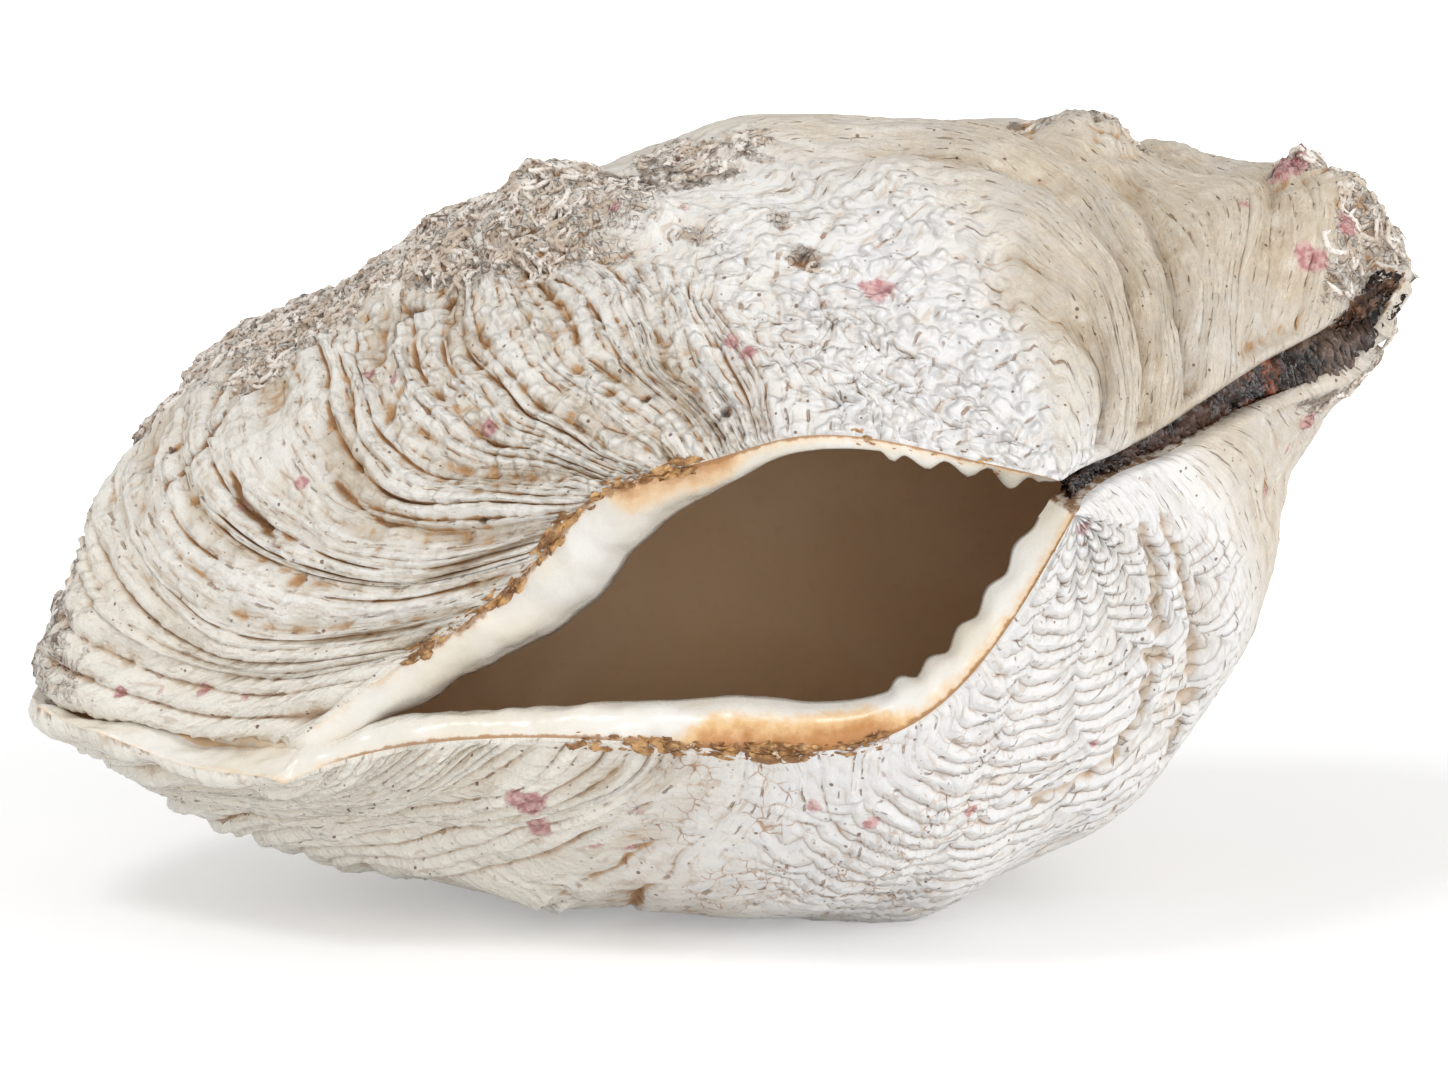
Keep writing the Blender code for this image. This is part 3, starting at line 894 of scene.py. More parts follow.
def curve_of(tree, value, points):
    made = tree.nodes.new("ShaderNodeFloatCurve")
    curve = made.mapping.curves[0]
    for place in points[1:-1]:
        curve.points.new(*place)
    curve.points[0].location = points[0]
    curve.points[-1].location = points[-1]
    made.mapping.update()
    feed(tree, made.inputs["Value"], value)
    return made.outputs[0]


def comb_pattern(tree, stack, across, place, bow, width, tidy):
    """Growth steps bowed into arches of one width, ragged where tidy is 0. Relief and finish share it."""
    drift = noise(tree, place, 0.10, 1.0)
    wobble = noise(tree, place, 0.34, 1.0)
    riblet = total(tree, math_node(tree, "DIVIDE", across, width), product(tree, drift, 1.5))
    off = less(tree, math_node(tree, "FRACT", riblet), 0.5)
    line = total(tree, stack, product(tree, off, off, bow), product(tree, drift, 1.5),
                 product(tree, wobble, less(tree, 0.8, product(tree, tidy, 0.6))))
    index = math_node(tree, "ROUND", line)
    signed = less(tree, line, index)
    near = math_node(tree, "ABSOLUTE", signed)
    trace = combine(tree, math_node(tree, "DIVIDE", across, 2.2), product(tree, index, 3.7))
    presence = ramp(tree, noise(tree, trace, 1.0, 2.0), 0.42, 0.6)
    presence = math_node(tree, "MAXIMUM", presence, product(tree, tidy, 0.75))
    hollow = less(tree, 1.0, math_node(tree, "POWER", math_node(tree, "MULTIPLY", near, 2.0), 0.5))
    hump = less(tree, 1.0, product(tree, hollow, presence))
    return {"hump": hump, "presence": presence, "near": near, "signed": signed}


def block_gap(tree, place, size):
    """Distance to the nearest crack between blocks of this size in mm, as a share of the size."""
    bent = vector_node(tree, "MULTIPLY_ADD", noise_colour(tree, place, 0.35, 1.0), (2.4, 2.4, 2.4), place)
    return voronoi(tree, bent, math_node(tree, "DIVIDE", 1.0, size), "DISTANCE_TO_EDGE")[0]


def cracked_share(tree, place):
    """1 in the patches of old skin that cracked into blocks, 0 in the others."""
    return ramp(tree, noise(tree, place, 0.12, 1.0), 0.4, 0.6)


def blob_field(tree, place, soft=True):
    """Blobs about 2 mm across, between -0.5 and 0.5, pressed together like wet plaster.

    Soft ones melt into each other, but they are slow, so only the relief has them.
    """
    bent = vector_node(tree, "MULTIPLY_ADD", noise_colour(tree, place, 0.3, 1.0), (3.0, 3.0, 3.0), place)
    cells = voronoi(tree, bent, 0.42, *(("SMOOTH_F1", 0.35) if soft else ("F1",)))[0]
    return ramp(tree, cells, 0.15, 0.75, 0.5, -0.5)


def broad_rolls(tree, count, course, seed):
    """Swellings a few lamellae wide that run along the growth lines, between 0 and 1."""
    place = combine(tree, math_node(tree, "DIVIDE", course, 22.0), product(tree, count, 0.46), seed)
    return noise(tree, place, 1.0, 1.0)


def crinkles(tree, count, course):
    """Fine folds that cross the youngest rolls, between 0 and 1."""
    place = combine(tree, math_node(tree, "DIVIDE", course, 1.5), product(tree, count, 0.3))
    return noise(tree, place, 1.0, 1.0)


PAUSE_COUNT = 10.5
FIRST_PAUSE = 8.3


def growth_pauses(tree, count, place):
    """0 to 1, where growth stopped for a while and left a valley along the growth line."""
    drift = product(tree, less(tree, noise(tree, place, 0.035, 2.0), 0.5), 6.0)
    since = product(tree, less(tree, count, FIRST_PAUSE), 2 * math.pi / PAUSE_COUNT)
    turn = math_node(tree, "COSINE", total(tree, since, drift))
    return math_node(tree, "POWER", math_node(tree, "MULTIPLY_ADD", turn, 0.5, 0.5), 2.6)


def relief_tree():
    unset = bpy.data.materials[0]
    tree, given = new_tree("growth_relief", {**RELIEF_SIZES, "Seed": 1.0, "Skin": unset, "Lip": unset,
                                             "Inside": unset})
    in_mm = vector_node(tree, "SCALE", position(tree), factor=1 / MM)
    shift = combine(tree, product(tree, given["Seed"], 37.0), product(tree, given["Seed"], 11.0))
    place = vector_node(tree, "ADD", in_mm, shift)
    count = named(tree, "count")
    course = named(tree, "course")
    phase = math_node(tree, "FRACT", count)
    index = math_node(tree, "FLOOR", count)
    each = node(tree, "ShaderNodeTexWhiteNoise", {"W": total(tree, index, given["Seed"])},
                noise_dimensions="1D").outputs["Value"]

    # Rolls: a crevice that comes and goes along each lamella, between backs that swell and sink.
    along = math_node(tree, "DIVIDE", course, 9.0)
    on_roll = combine(tree, along, product(tree, index, 7.31), given["Seed"])
    young = named(tree, "young")
    presence = ramp(tree, noise(tree, on_roll, 1.0, 2.0), 0.34, 0.6, 0.12, 1.0)
    presence = math_node(tree, "MAXIMUM", presence, product(tree, young, 0.9))
    swell = noise(tree, on_roll, 1.7, 2.0)
    deep = blend(tree, young, ramp(tree, each, 0.4, 0.75, 0.2, 2.0), ramp(tree, each, 0.0, 1.0, 0.6, 1.1))
    depth = product(tree, given["Roll Height"], presence, deep)
    broad = less(tree, broad_rolls(tree, count, course, given["Seed"]), 0.5)
    profile = blend(tree, young, curve_of(tree, phase, ROLL_PROFILE), curve_of(tree, phase, YOUNG_PROFILE))
    rolls = product(tree, depth, less(tree, profile, 1.0))
    lift = product(tree, given["Roll Swell"], less(tree, swell, 0.62), profile)
    along = math_node(tree, "DIVIDE", course, 2.4)
    on_bead = combine(tree, along, product(tree, index, 5.17), given["Seed"])
    beads = product(tree, less(tree, noise(tree, on_bead, 1.0, 1.0), 0.5), 4.0)
    riblets = product(tree, given["Riblet Height"], beads, profile)
    roll_share = math_node(tree, "MAXIMUM", named(tree, "rolls"), 0.13)
    wide = product(tree, broad, given["Broad Height"])
    crinkled = product(tree, less(tree, crinkles(tree, count, course), 0.5), given["Crinkle Height"], young)
    rolled = product(tree, total(tree, rolls, lift, riblets, wide, crinkled), roll_share)

    # Combs and scales: finer steps between the rolls, bent into stacked arches on the ribs.
    comb = comb_pattern(tree, product(tree, count, given["Comb Steps"]), course, place, 0.0,
                        given["Scale Width"], COMB_TIDY)
    arch = comb_pattern(tree, named(tree, "stack"), named(tree, "across"), place, given["Scale Bow"],
                        given["Scale Width"], given["Scale Tidy"])
    combed = product(tree, less(tree, comb["hump"], 0.8), given["Comb Height"], named(tree, "sculpt"))
    arched = product(tree, less(tree, arch["hump"], 0.6), given["Scale Height"], named(tree, "scales"))
    combed = total(tree, combed, arched)
    lumps = product(tree, less(tree, noise(tree, place, 0.13, 2.0), 0.5), given["Lump Height"], 2.0,
                    named(tree, "sculpt"))

    # Blocks: old chalky skin cracked into uneven cells.
    gap = block_gap(tree, place, given["Block Size"])
    cracked = product(tree, named(tree, "blocks"), cracked_share(tree, place))
    blocks = product(tree, ramp(tree, gap, 0.16, 0.0), given["Crack Depth"], cracked, -1.0)

    # Crust: worm-like ridges over lumps.
    fine_place = math_node(tree, "DIVIDE", 1.0, given["Crust Grain"])
    worm = noise(tree, place, fine_place, 0.6, 0.5, 0.5)
    ridge = ramp(tree, math_node(tree, "ABSOLUTE", less(tree, worm, 0.5)), 0.11, 0.0)
    knots = voronoi(tree, place, product(tree, fine_place, 0.5), "SMOOTH_F1", 0.5)[0]
    crust = total(tree, product(tree, ridge, 0.8), product(tree, less(tree, 0.5, knots), 1.8), -0.5)
    crust = product(tree, crust, given["Crust Height"], named(tree, "crust"))

    # Broad waves on the steep slope by the hinge, and pits and knobs where the marks are.
    pause = growth_pauses(tree, count, place)
    waves = product(tree, pause, given["Wave Depth"], named(tree, "waves"), -1.0)
    pits = total(tree, product(tree, named(tree, "dark"), given["Pit Depth"], -1.0),
                 product(tree, named(tree, "groove"), given["Groove Depth"], -1.0))
    lumpy = ramp(tree, noise(tree, place, 0.5, 2.0), 0.3, 0.7, 0.55, 1.2)
    knobs = product(tree, named(tree, "knobs"), lumpy)
    fine = product(tree, less(tree, noise(tree, place, 0.8, 3.0, 0.6), 0.5), given["Fine Height"], 2.0)
    plaster = math_node(tree, "MAXIMUM", named(tree, "sculpt"), named(tree, "chalk"))
    blobs = product(tree, blob_field(tree, place), given["Blob Height"], plaster)
    height = total(tree, rolled, combed, lumps, blocks, crust, waves, pits, knobs, fine, blobs)
    height = product(tree, height, named(tree, "calm"))
    zone = named(tree, "zone")
    on_lip = math_node(tree, "MAXIMUM", ramp(tree, zone, OUTER, LIP), named(tree, "lobes"))
    lip = product(tree, less(tree, noise(tree, place, 0.11, 2.0), 0.5), 4.5, named(tree, "growth"), on_lip,
                  ramp(tree, zone, INNER, LIP))
    height = total(tree, height, lip)

    # The place before the push is stored as rest, and how far a point stands out as relief.
    low = node(tree, "GeometryNodeBlurAttribute", {"Value": height, "Iterations": 7}, data_type="FLOAT")
    stored = store(tree, given["Geometry"], "rest", place, "FLOAT_VECTOR")
    stored = store(tree, stored, "relief", less(tree, height, low.outputs[0]))
    moved = push_out(tree, stored, height)
    reach = [product(tree, given["Reach " + axis], MM) for axis in "XYZ"]
    highest = combine(tree, *reach)
    lowest = combine(tree, product(tree, reach[0], -1.0), product(tree, reach[1], -1.0), 0.0)
    kept = hold_between(tree, moved, lowest, highest)
    dressed = node(tree, "GeometryNodeRealizeInstances", {"Geometry": kept}).outputs[0]
    part = named(tree, "part")
    for label, number in (("Skin", OUTER), ("Lip", LIP), ("Inside", INNER)):
        chosen = math_node(tree, "COMPARE", part, number, 0.5)
        dressed = node(tree, "GeometryNodeSetMaterial", {"Geometry": dressed, "Selection": chosen,
                                                         "Material": given[label]}).outputs[0]
    node(tree, "NodeGroupOutput", {0: dressed})
    return tree


relief = relief_tree()
print("relief tree", len(relief.nodes), "nodes")


# %% [markdown]
# ## Shared surface effects
# The whole shell has aged in the same water, so its skin, its crust and its lips share the same
# effects: streaks that follow the growth lines, dirt and painted shade in the crevices, tiny holes
# bored by worms and sponges and painted dark as their shade, and worm-eaten texture. Each effect
# is a small node group that is built once and placed in every material with its own values.

# %% Shader helpers
def paint(red, green, blue):
    """A colour as a paint chart gives it, 0 to 255, turned into the light it reflects."""
    shares = [value / 255 for value in (red, green, blue)]
    linear = [s / 12.92 if s <= 0.04045 else ((s + 0.055) / 1.055) ** 2.4 for s in shares]
    return (*linear, 1.0)


def effect(name, inputs, outputs):
    tree = bpy.data.node_groups.new(name, "ShaderNodeTree")
    for label, value in inputs.items():
        kind = "NodeSocketVector" if isinstance(value, tuple) else "NodeSocketFloat"
        socket = tree.interface.new_socket(label, in_out="INPUT", socket_type=kind)
        socket.default_value = value
    for label in outputs:
        tree.interface.new_socket(label, in_out="OUTPUT", socket_type="NodeSocketFloat")
    return tree, node(tree, "NodeGroupInput").outputs


def use(tree, group, inputs):
    made = tree.nodes.new("ShaderNodeGroup")
    made.node_tree = group
    for label, value in inputs.items():
        feed(tree, made.inputs[label], value)
    return made.outputs


def mix(tree, share, a, b, blend="MIX"):
    made = tree.nodes.new("ShaderNodeMix")
    made.data_type = "RGBA"
    made.blend_type = blend
    for index, value in ((0, share), (6, a), (7, b)):
        feed(tree, made.inputs[index], value)
    return made.outputs[2]


def mask_of(tree, label):
    return node(tree, "ShaderNodeAttribute", attribute_name=label).outputs["Fac"]


def place_in_mm(tree):
    where = node(tree, "ShaderNodeTexCoord").outputs["Object"]
    return vector_node(tree, "SCALE", where, factor=1 / MM)


def tint(tree, share, colour, by):
    """Multiplies a colour by another one where share is 1."""
    return mix(tree, share, colour, mix(tree, 1.0, colour, by, "MULTIPLY"))


# %% Growth streaks
def growth_streaks():
    tree, given = effect("growth_streaks", {"Count": 0.0, "Course": 0.0, "Fine": 3.2, "Seed": 0.0},
                         ("Bands", "Striae", "Dashes"))
    count, course, seed = given["Count"], given["Course"], given["Seed"]
    along = combine(tree, product(tree, course, 0.07), product(tree, count, 0.9), seed)
    bands = noise(tree, along, 1.0, 4.0, 0.6)
    along = combine(tree, product(tree, course, 0.22), product(tree, count, given["Fine"]), seed)
    striae = noise(tree, along, 1.0, 3.0, 0.6, 0.3)
    jitter = noise(tree, combine(tree, product(tree, course, 0.5), count, seed), 1.0, 2.0)
    wobbled = math_node(tree, "FRACT", total(tree, count, product(tree, less(tree, jitter, 0.5), 0.35)))
    near_crevice = math_node(tree, "MINIMUM", wobbled, less(tree, 1.0, wobbled))
    index = math_node(tree, "ROUND", count)
    along = combine(tree, product(tree, course, 0.45), product(tree, index, 5.3), seed)
    broken = noise(tree, along, 1.0, 2.0)
    # Dashes: broken dark lines along the crevices, painted as their shadow and dirt.
    dashes = product(tree, ramp(tree, near_crevice, 0.075, 0.015), ramp(tree, broken, 0.53, 0.66))
    node(tree, "NodeGroupOutput", {0: ramp(tree, bands, 0.38, 0.66), 1: striae, 2: dashes})
    return tree


streaks = growth_streaks()


# %% Comb steps in the finish
def comb_steps():
    tree, given = effect("comb_steps", {"Stack": 0.0, "Across": 0.0, "Rest": (0.0, 0.0, 0.0), "Bow": 0.0,
                                        "Tidy": 0.0, "Width": 5.0}, ("Hump", "Stain", "Line"))
    comb = comb_pattern(tree, given["Stack"], given["Across"], given["Rest"], given["Bow"], given["Width"],
                        given["Tidy"])
    # Shade And Stain: the side before each step, painted tan as its shade and stain.
    before = product(tree, ramp(tree, comb["signed"], -0.34, -0.02), ramp(tree, comb["signed"], 0.12, 0.0))
    line = product(tree, ramp(tree, comb["near"], 0.07, 0.02), ramp(tree, comb["presence"], 0.8, 1.0))
    node(tree, "NodeGroupOutput", {0: comb["hump"], 1: product(tree, before, comb["presence"]), 2: line})
    return tree


combs = comb_steps()


# %% Crevice shade and dirt
def crevice_dirt():
    tree, given = effect("crevice_dirt", {"Vector": (0.0, 0.0, 0.0), "Relief": 0.0, "Reach": 0.5},
                         ("Soft", "Deep"))
    # Painted shade and dirt: tan where a point sits below the blurred relief around it, in patches.
    patchy = noise(tree, given["Vector"], 0.22, 3.0, 0.6)
    level = total(tree, math_node(tree, "DIVIDE", given["Relief"], given["Reach"]), less(tree, 0.5, patchy))
    node(tree, "NodeGroupOutput", {0: ramp(tree, level, -0.35, -1.2), 1: ramp(tree, level, -1.0, -2.0)})
    return tree


shade_and_dirt = crevice_dirt()


# %% Boreholes and worm tracks
def boreholes():
    tree, given = effect("boreholes", {"Vector": (0.0, 0.0, 0.0), "Spacing": 3.0, "Radius": 0.35,
                                       "Share": 0.3}, ("Holes",))
    scale = math_node(tree, "DIVIDE", 1.0, given["Spacing"])
    cells = voronoi(tree, given["Vector"], scale)
    parts = node(tree, "ShaderNodeSeparateXYZ", {0: cells[1]}).outputs
    chosen = math_node(tree, "LESS_THAN", parts[0], given["Share"])
    size = product(tree, given["Radius"], ramp(tree, parts[1], 0.0, 1.0, 0.5, 1.3), scale)
    edge = math_node(tree, "DIVIDE", cells[0], size)
    node(tree, "NodeGroupOutput", {0: product(tree, chosen, ramp(tree, edge, 1.1, 0.75))})
    return tree


def worm_tracks():
    tree, given = effect("worm_tracks", {"Vector": (0.0, 0.0, 0.0), "Width": 1.3}, ("Ridge", "Groove"))
    scale = math_node(tree, "DIVIDE", 0.62, given["Width"])
    field = noise(tree, given["Vector"], scale, 0.8, 0.5, 0.6)
    off = math_node(tree, "ABSOLUTE", less(tree, field, 0.5))
    other = noise(tree, given["Vector"], product(tree, scale, 1.6), 1.0, 0.5, 0.5)
    apart = math_node(tree, "ABSOLUTE", less(tree, other, 0.46))
    groove = product(tree, ramp(tree, apart, 0.035, 0.01), ramp(tree, off, 0.03, 0.08))
    node(tree, "NodeGroupOutput", {0: ramp(tree, off, 0.1, 0.0), 1: groove})
    return tree


holes = boreholes()
tracks = worm_tracks()
print("effects", [group.name for group in (streaks, combs, shade_and_dirt, holes, tracks)])

# %% [markdown]
# ## Weathered skin
# The outer skin was cream and chalk white once. Now tan lines, partly painted shadow, lie in the
# crevices, ochre stain mixed with painted shade lies between the rolls, painted highlights whiten
# their backs, coralline crust leaves pink patches, and the crest is grey-brown with worm tracks. The
# finish lays these over one another in the order in which they came.

# %% Outer skin material
CHALK = paint(239, 238, 237)
CREAM = paint(243, 237, 225)
WARM_WHITE = paint(251, 247, 239)
TAN = paint(208, 190, 164)
OCHRE = paint(204, 166, 112)
CRUST_GREY = paint(204, 187, 170)
CREVICE_SHADE_TAN = paint(212, 168, 118)
CREVICE_SHADOW_BROWN = paint(176, 128, 84)
PIT_SHADE_BROWN = paint(52, 36, 26)
HOLE_SHADE_BROWN = paint(112, 78, 52)
IVORY = paint(253, 247, 234)
AGED_TAN = paint(227, 214, 194)
LINE_TAN = paint(188, 160, 126)
SHADE_AND_GRIME_TAN = paint(200, 156, 108)
WORM_GROOVE_SHADE = paint(126, 102, 84)
SOOT = paint(122, 104, 90)
CORALLINE = paint(186, 112, 116)
CORALLINE_PALE = paint(222, 176, 172)

# The seeds are those of CARVING below, so that finish and relief agree.
SKIN_LOOKS = {1: {"cream": CREAM, "stain": 0.32, "ochre": 0.2, "seed": 1.0, "fine": 3.4,
                  "plaster": 0.9, "tidy": 0.6, "groove": paint(140, 102, 70)},
              -1: {"cream": paint(247, 242, 232), "stain": 0.3, "ochre": 0.18, "seed": 4.0,
                   "fine": 2.6, "plaster": 0.15, "tidy": 1.0, "groove": paint(206, 184, 156)}}


def shell_material(name):
    material = bpy.data.materials.new(name)
    material.use_nodes = True
    tree = material.node_tree
    tree.nodes.clear()
    shader = tree.nodes.new("ShaderNodeBsdfPrincipled")
    node(tree, "ShaderNodeOutputMaterial", {"Surface": shader.outputs[0]})
    return material, tree, shader


def wire_up(tree, shader, colour, rough, height, strength=1.0):
    """Gives a shader its colour, its roughness and a bump whose height is in mm."""
    feed(tree, shader.inputs["Base Color"], colour)
    feed(tree, shader.inputs["Roughness"], rough)
    bump = node(tree, "ShaderNodeBump", {"Height": height, "Distance": MM, "Strength": strength})
    feed(tree, shader.inputs["Normal"], bump.outputs[0])


def frayed(tree, mask, patchy, reach, low, high):
    """A soft mask with a ragged edge."""
    return ramp(tree, total(tree, mask, product(tree, less(tree, patchy, 0.5), reach)), low, high)


def skin_material(name, looks):
    material, tree, shader = shell_material(name)
    place = place_in_mm(tree)
    count, course, relief_mm = (mask_of(tree, label) for label in ("count", "course", "relief"))
    chalk, sculpt = mask_of(tree, "chalk"), mask_of(tree, "sculpt")
    rest = node(tree, "ShaderNodeAttribute", attribute_name="rest").outputs["Vector"]
    comb = use(tree, combs, {"Stack": product(tree, count, RELIEF_SIZES["Comb Steps"]), "Across": course,
                             "Rest": rest, "Tidy": COMB_TIDY})
    arch = use(tree, combs, {"Stack": mask_of(tree, "stack"), "Across": mask_of(tree, "across"),
                             "Rest": rest, "Bow": RELIEF_SIZES["Scale Bow"], "Tidy": looks["tidy"]})
    scales, young, waves, rolls = (mask_of(tree, label) for label in ("scales", "young", "waves", "rolls"))
    gap = block_gap(tree, rest, RELIEF_SIZES["Block Size"])
    cracked = product(tree, mask_of(tree, "blocks"), cracked_share(tree, rest))
    crack = product(tree, ramp(tree, gap, 0.045, 0.01), cracked)
    lines = use(tree, streaks, {"Count": count, "Course": course, "Fine": looks["fine"],
                                "Seed": looks["seed"]})
    crevice_shade_and_grime = use(tree, shade_and_dirt, {"Vector": place, "Relief": relief_mm, "Reach": 0.42})
    tiny = use(tree, holes, {"Vector": place, "Spacing": 2.3, "Radius": 0.26, "Share": 0.5})["Holes"]
    specks = use(tree, holes, {"Vector": place, "Spacing": 1.4, "Radius": 0.18, "Share": 0.3})["Holes"]
    worm = use(tree, tracks, {"Vector": place, "Width": 1.4})
    cloudy = noise(tree, place, 0.045, 4.0, 0.6)
    patchy = noise(tree, place, 0.3, 4.0, 0.65)
    crust = frayed(tree, mask_of(tree, "crust"), patchy, 1.4, 0.3, 0.6)

    # The old skin: cream and chalk in broad bands, with a painted highlight that whitens the crests.
    whiten = math_node(tree, "ADD", product(tree, chalk, 0.8), ramp(tree, patchy, 0.42, 0.62, 0.0, 0.5),
                       clamp=True)
    colour = mix(tree, whiten, looks["cream"], CHALK)
    crest_highlight = product(tree, ramp(tree, relief_mm, -0.1, 0.4), ramp(tree, comb["Hump"], 0.5, 0.95))
    banded = product(tree, lines["Bands"], looks["stain"], less(tree, 1.0, product(tree, chalk, 0.75)))
    colour = tint(tree, banded, colour, TAN)
    # Ochre where the relief is low: partly stain, partly painted shade in the hollows.
    ochre_and_hollow_shade = product(tree, ramp(tree, cloudy, 0.5, 0.66), ramp(tree, relief_mm, 0.0, -0.35), looks["ochre"])
    colour = mix(tree, ochre_and_hollow_shade, colour, OCHRE)
    # Painted highlight: the raised backs of the steps are painted near white.
    pale = mix(tree, chalk, WARM_WHITE, CHALK)
    colour = mix(tree, product(tree, crest_highlight, 0.9), colour, pale)
    # Painted highlight on the backs of the broad rolls, and painted shade in tan between them.
    broad = broad_rolls(tree, count, course, looks["seed"])
    colour = mix(tree, product(tree, ramp(tree, broad, 0.5, 0.66), rolls, 0.8), colour, pale)
    colour = tint(tree, product(tree, ramp(tree, broad, 0.48, 0.34), rolls, 0.45), colour, TAN)
    # Tan in the valleys of the growth pauses: partly stain, partly painted shade.
    pause = product(tree, growth_pauses(tree, count, rest), waves, ramp(tree, patchy, 0.3, 0.6))
    colour = mix(tree, product(tree, pause, 0.4), colour, TAN)
    colour = mix(tree, product(tree, young, 0.75), colour, IVORY)
    flaked = total(tree, cloudy, product(tree, less(tree, patchy, 0.5), 0.5))
    washed = product(tree, waves, ramp(tree, flaked, 0.48, 0.56), 0.75)
    colour = mix(tree, washed, colour, CHALK)
    aged = product(tree, waves, less(tree, 1.0, chalk), ramp(tree, patchy, 0.25, 0.6, 0.3, 0.8))
    colour = tint(tree, aged, colour, AGED_TAN)

    # Painted shade and stain before the steps, then the crust, then painted shade and dirt in the hollows.
    colour = mix(tree, product(tree, comb["Stain"], sculpt, 0.5), colour, CREVICE_SHADE_TAN)
    colour = mix(tree, product(tree, arch["Stain"], scales, 0.2), colour, CREVICE_SHADE_TAN)
    crusty = product(tree, crust, ramp(tree, patchy, 0.3, 0.62, 0.25, 1.0))
    colour = mix(tree, crusty, colour, CRUST_GREY)
    # Worm ridges painted warm white: partly their own pale colour, partly painted highlight.
    colour = mix(tree, product(tree, crust, worm["Ridge"], 0.8), colour, WARM_WHITE)
    fine_lines = product(tree, ramp(tree, lines["Striae"], 0.54, 0.68), 0.4)
    colour = mix(tree, fine_lines, colour, LINE_TAN)
    # Painted shade and grime: tan where the relief is low, less on the clean chalk and young rolls.
    clean = math_node(tree, "MAXIMUM", product(tree, chalk, 0.55), product(tree, young, 0.6))
    clean = less(tree, 1.0, clean)
    colour = mix(tree, product(tree, crevice_shade_and_grime["Soft"], clean, 0.95), colour, SHADE_AND_GRIME_TAN)
    # Worm grooves painted brown: partly dirt, partly painted shade.
    colour = mix(tree, product(tree, crust, worm["Groove"], 0.6), colour, WORM_GROOVE_SHADE)
    sooty = product(tree, crust, ramp(tree, cloudy, 0.5, 0.62), ramp(tree, patchy, 0.4, 0.6), 0.7)
    colour = mix(tree, sooty, colour, SOOT)

    # Pink crust over that, then the sharp dark marks: painted shadow and dirt along the crevices,
    # lines and cracks, darker grooves, and painted shade in pits and holes.
    pinked = frayed(tree, mask_of(tree, "pink"), patchy, 1.5, 0.3, 0.62)
    pink = mix(tree, ramp(tree, noise(tree, place, 0.9, 3.0), 0.4, 0.6), CORALLINE, CORALLINE_PALE)
    colour = mix(tree, product(tree, pinked, 0.85), colour, pink)
    shadow_and_dirt_lines = (product(tree, crevice_shade_and_grime["Deep"], less(tree, 0.8, product(tree, young, 0.3))),
                product(tree, lines["Dashes"], 0.7),
                product(tree, comb["Line"], sculpt, 0.85),
                product(tree, arch["Line"], scales, less(tree, 0.42, product(tree, chalk, 0.26))),
                product(tree, crack, ramp(tree, patchy, 0.38, 0.55), 0.8))
    for share in shadow_and_dirt_lines:
        colour = mix(tree, share, colour, CREVICE_SHADOW_BROWN)
    grooved = product(tree, ramp(tree, mask_of(tree, "groove"), 0.2, 0.7), 0.6)
    colour = mix(tree, grooved, colour, looks["groove"])
    # The pits of the dark marks are painted dark brown: painted shade in them.
    dark = frayed(tree, mask_of(tree, "dark"), patchy, 1.6, 0.45, 0.75)
    colour = mix(tree, product(tree, dark, 0.85), colour, PIT_SHADE_BROWN)
    # The bored holes are only painted: their dark brown is painted shade.
    bored = math_node(tree, "MAXIMUM", tiny, product(tree, specks, 0.7))
    colour = mix(tree, product(tree, bored, 0.85), colour, HOLE_SHADE_BROWN)

    rough = total(tree, 0.26, product(tree, patchy, 0.25), product(tree, crusty, 0.25),
                  product(tree, chalk, 0.2), product(tree, young, -0.14))
    grain = noise(tree, place, 1.6, 5.0, 0.65)
    plaster = math_node(tree, "MAXIMUM", sculpt, chalk)
    height = total(tree, product(tree, lines["Striae"], ramp(tree, chalk, 0.0, 1.0, 0.4, 0.15)),
                   product(tree, grain, ramp(tree, chalk, 0.0, 1.0, 0.42, 0.15)),
                   product(tree, comb["Hump"], sculpt, 0.75), product(tree, arch["Hump"], scales, 0.75),
                   product(tree, blob_field(tree, rest, False), plaster, looks["plaster"]),
                   product(tree, crinkles(tree, count, course), young, 0.9),
                   product(tree, crust, less(tree, worm["Ridge"], worm["Groove"]), 0.6),
                   product(tree, lines["Dashes"], -0.4))
    wire_up(tree, shader, colour, rough, height)
    return material


skin_finish = {1: skin_material("upper_skin", SKIN_LOOKS[1]),
               -1: skin_material("lower_skin", SKIN_LOOKS[-1])}

# %% [markdown]
# ## Porcelain lips and the brown inside
# Where the valve was thickest and youngest it is still smooth and glossy, like porcelain. Amber
# stains from the outer skin creep over the lip's outer edge. The inside is a dull warm brown.


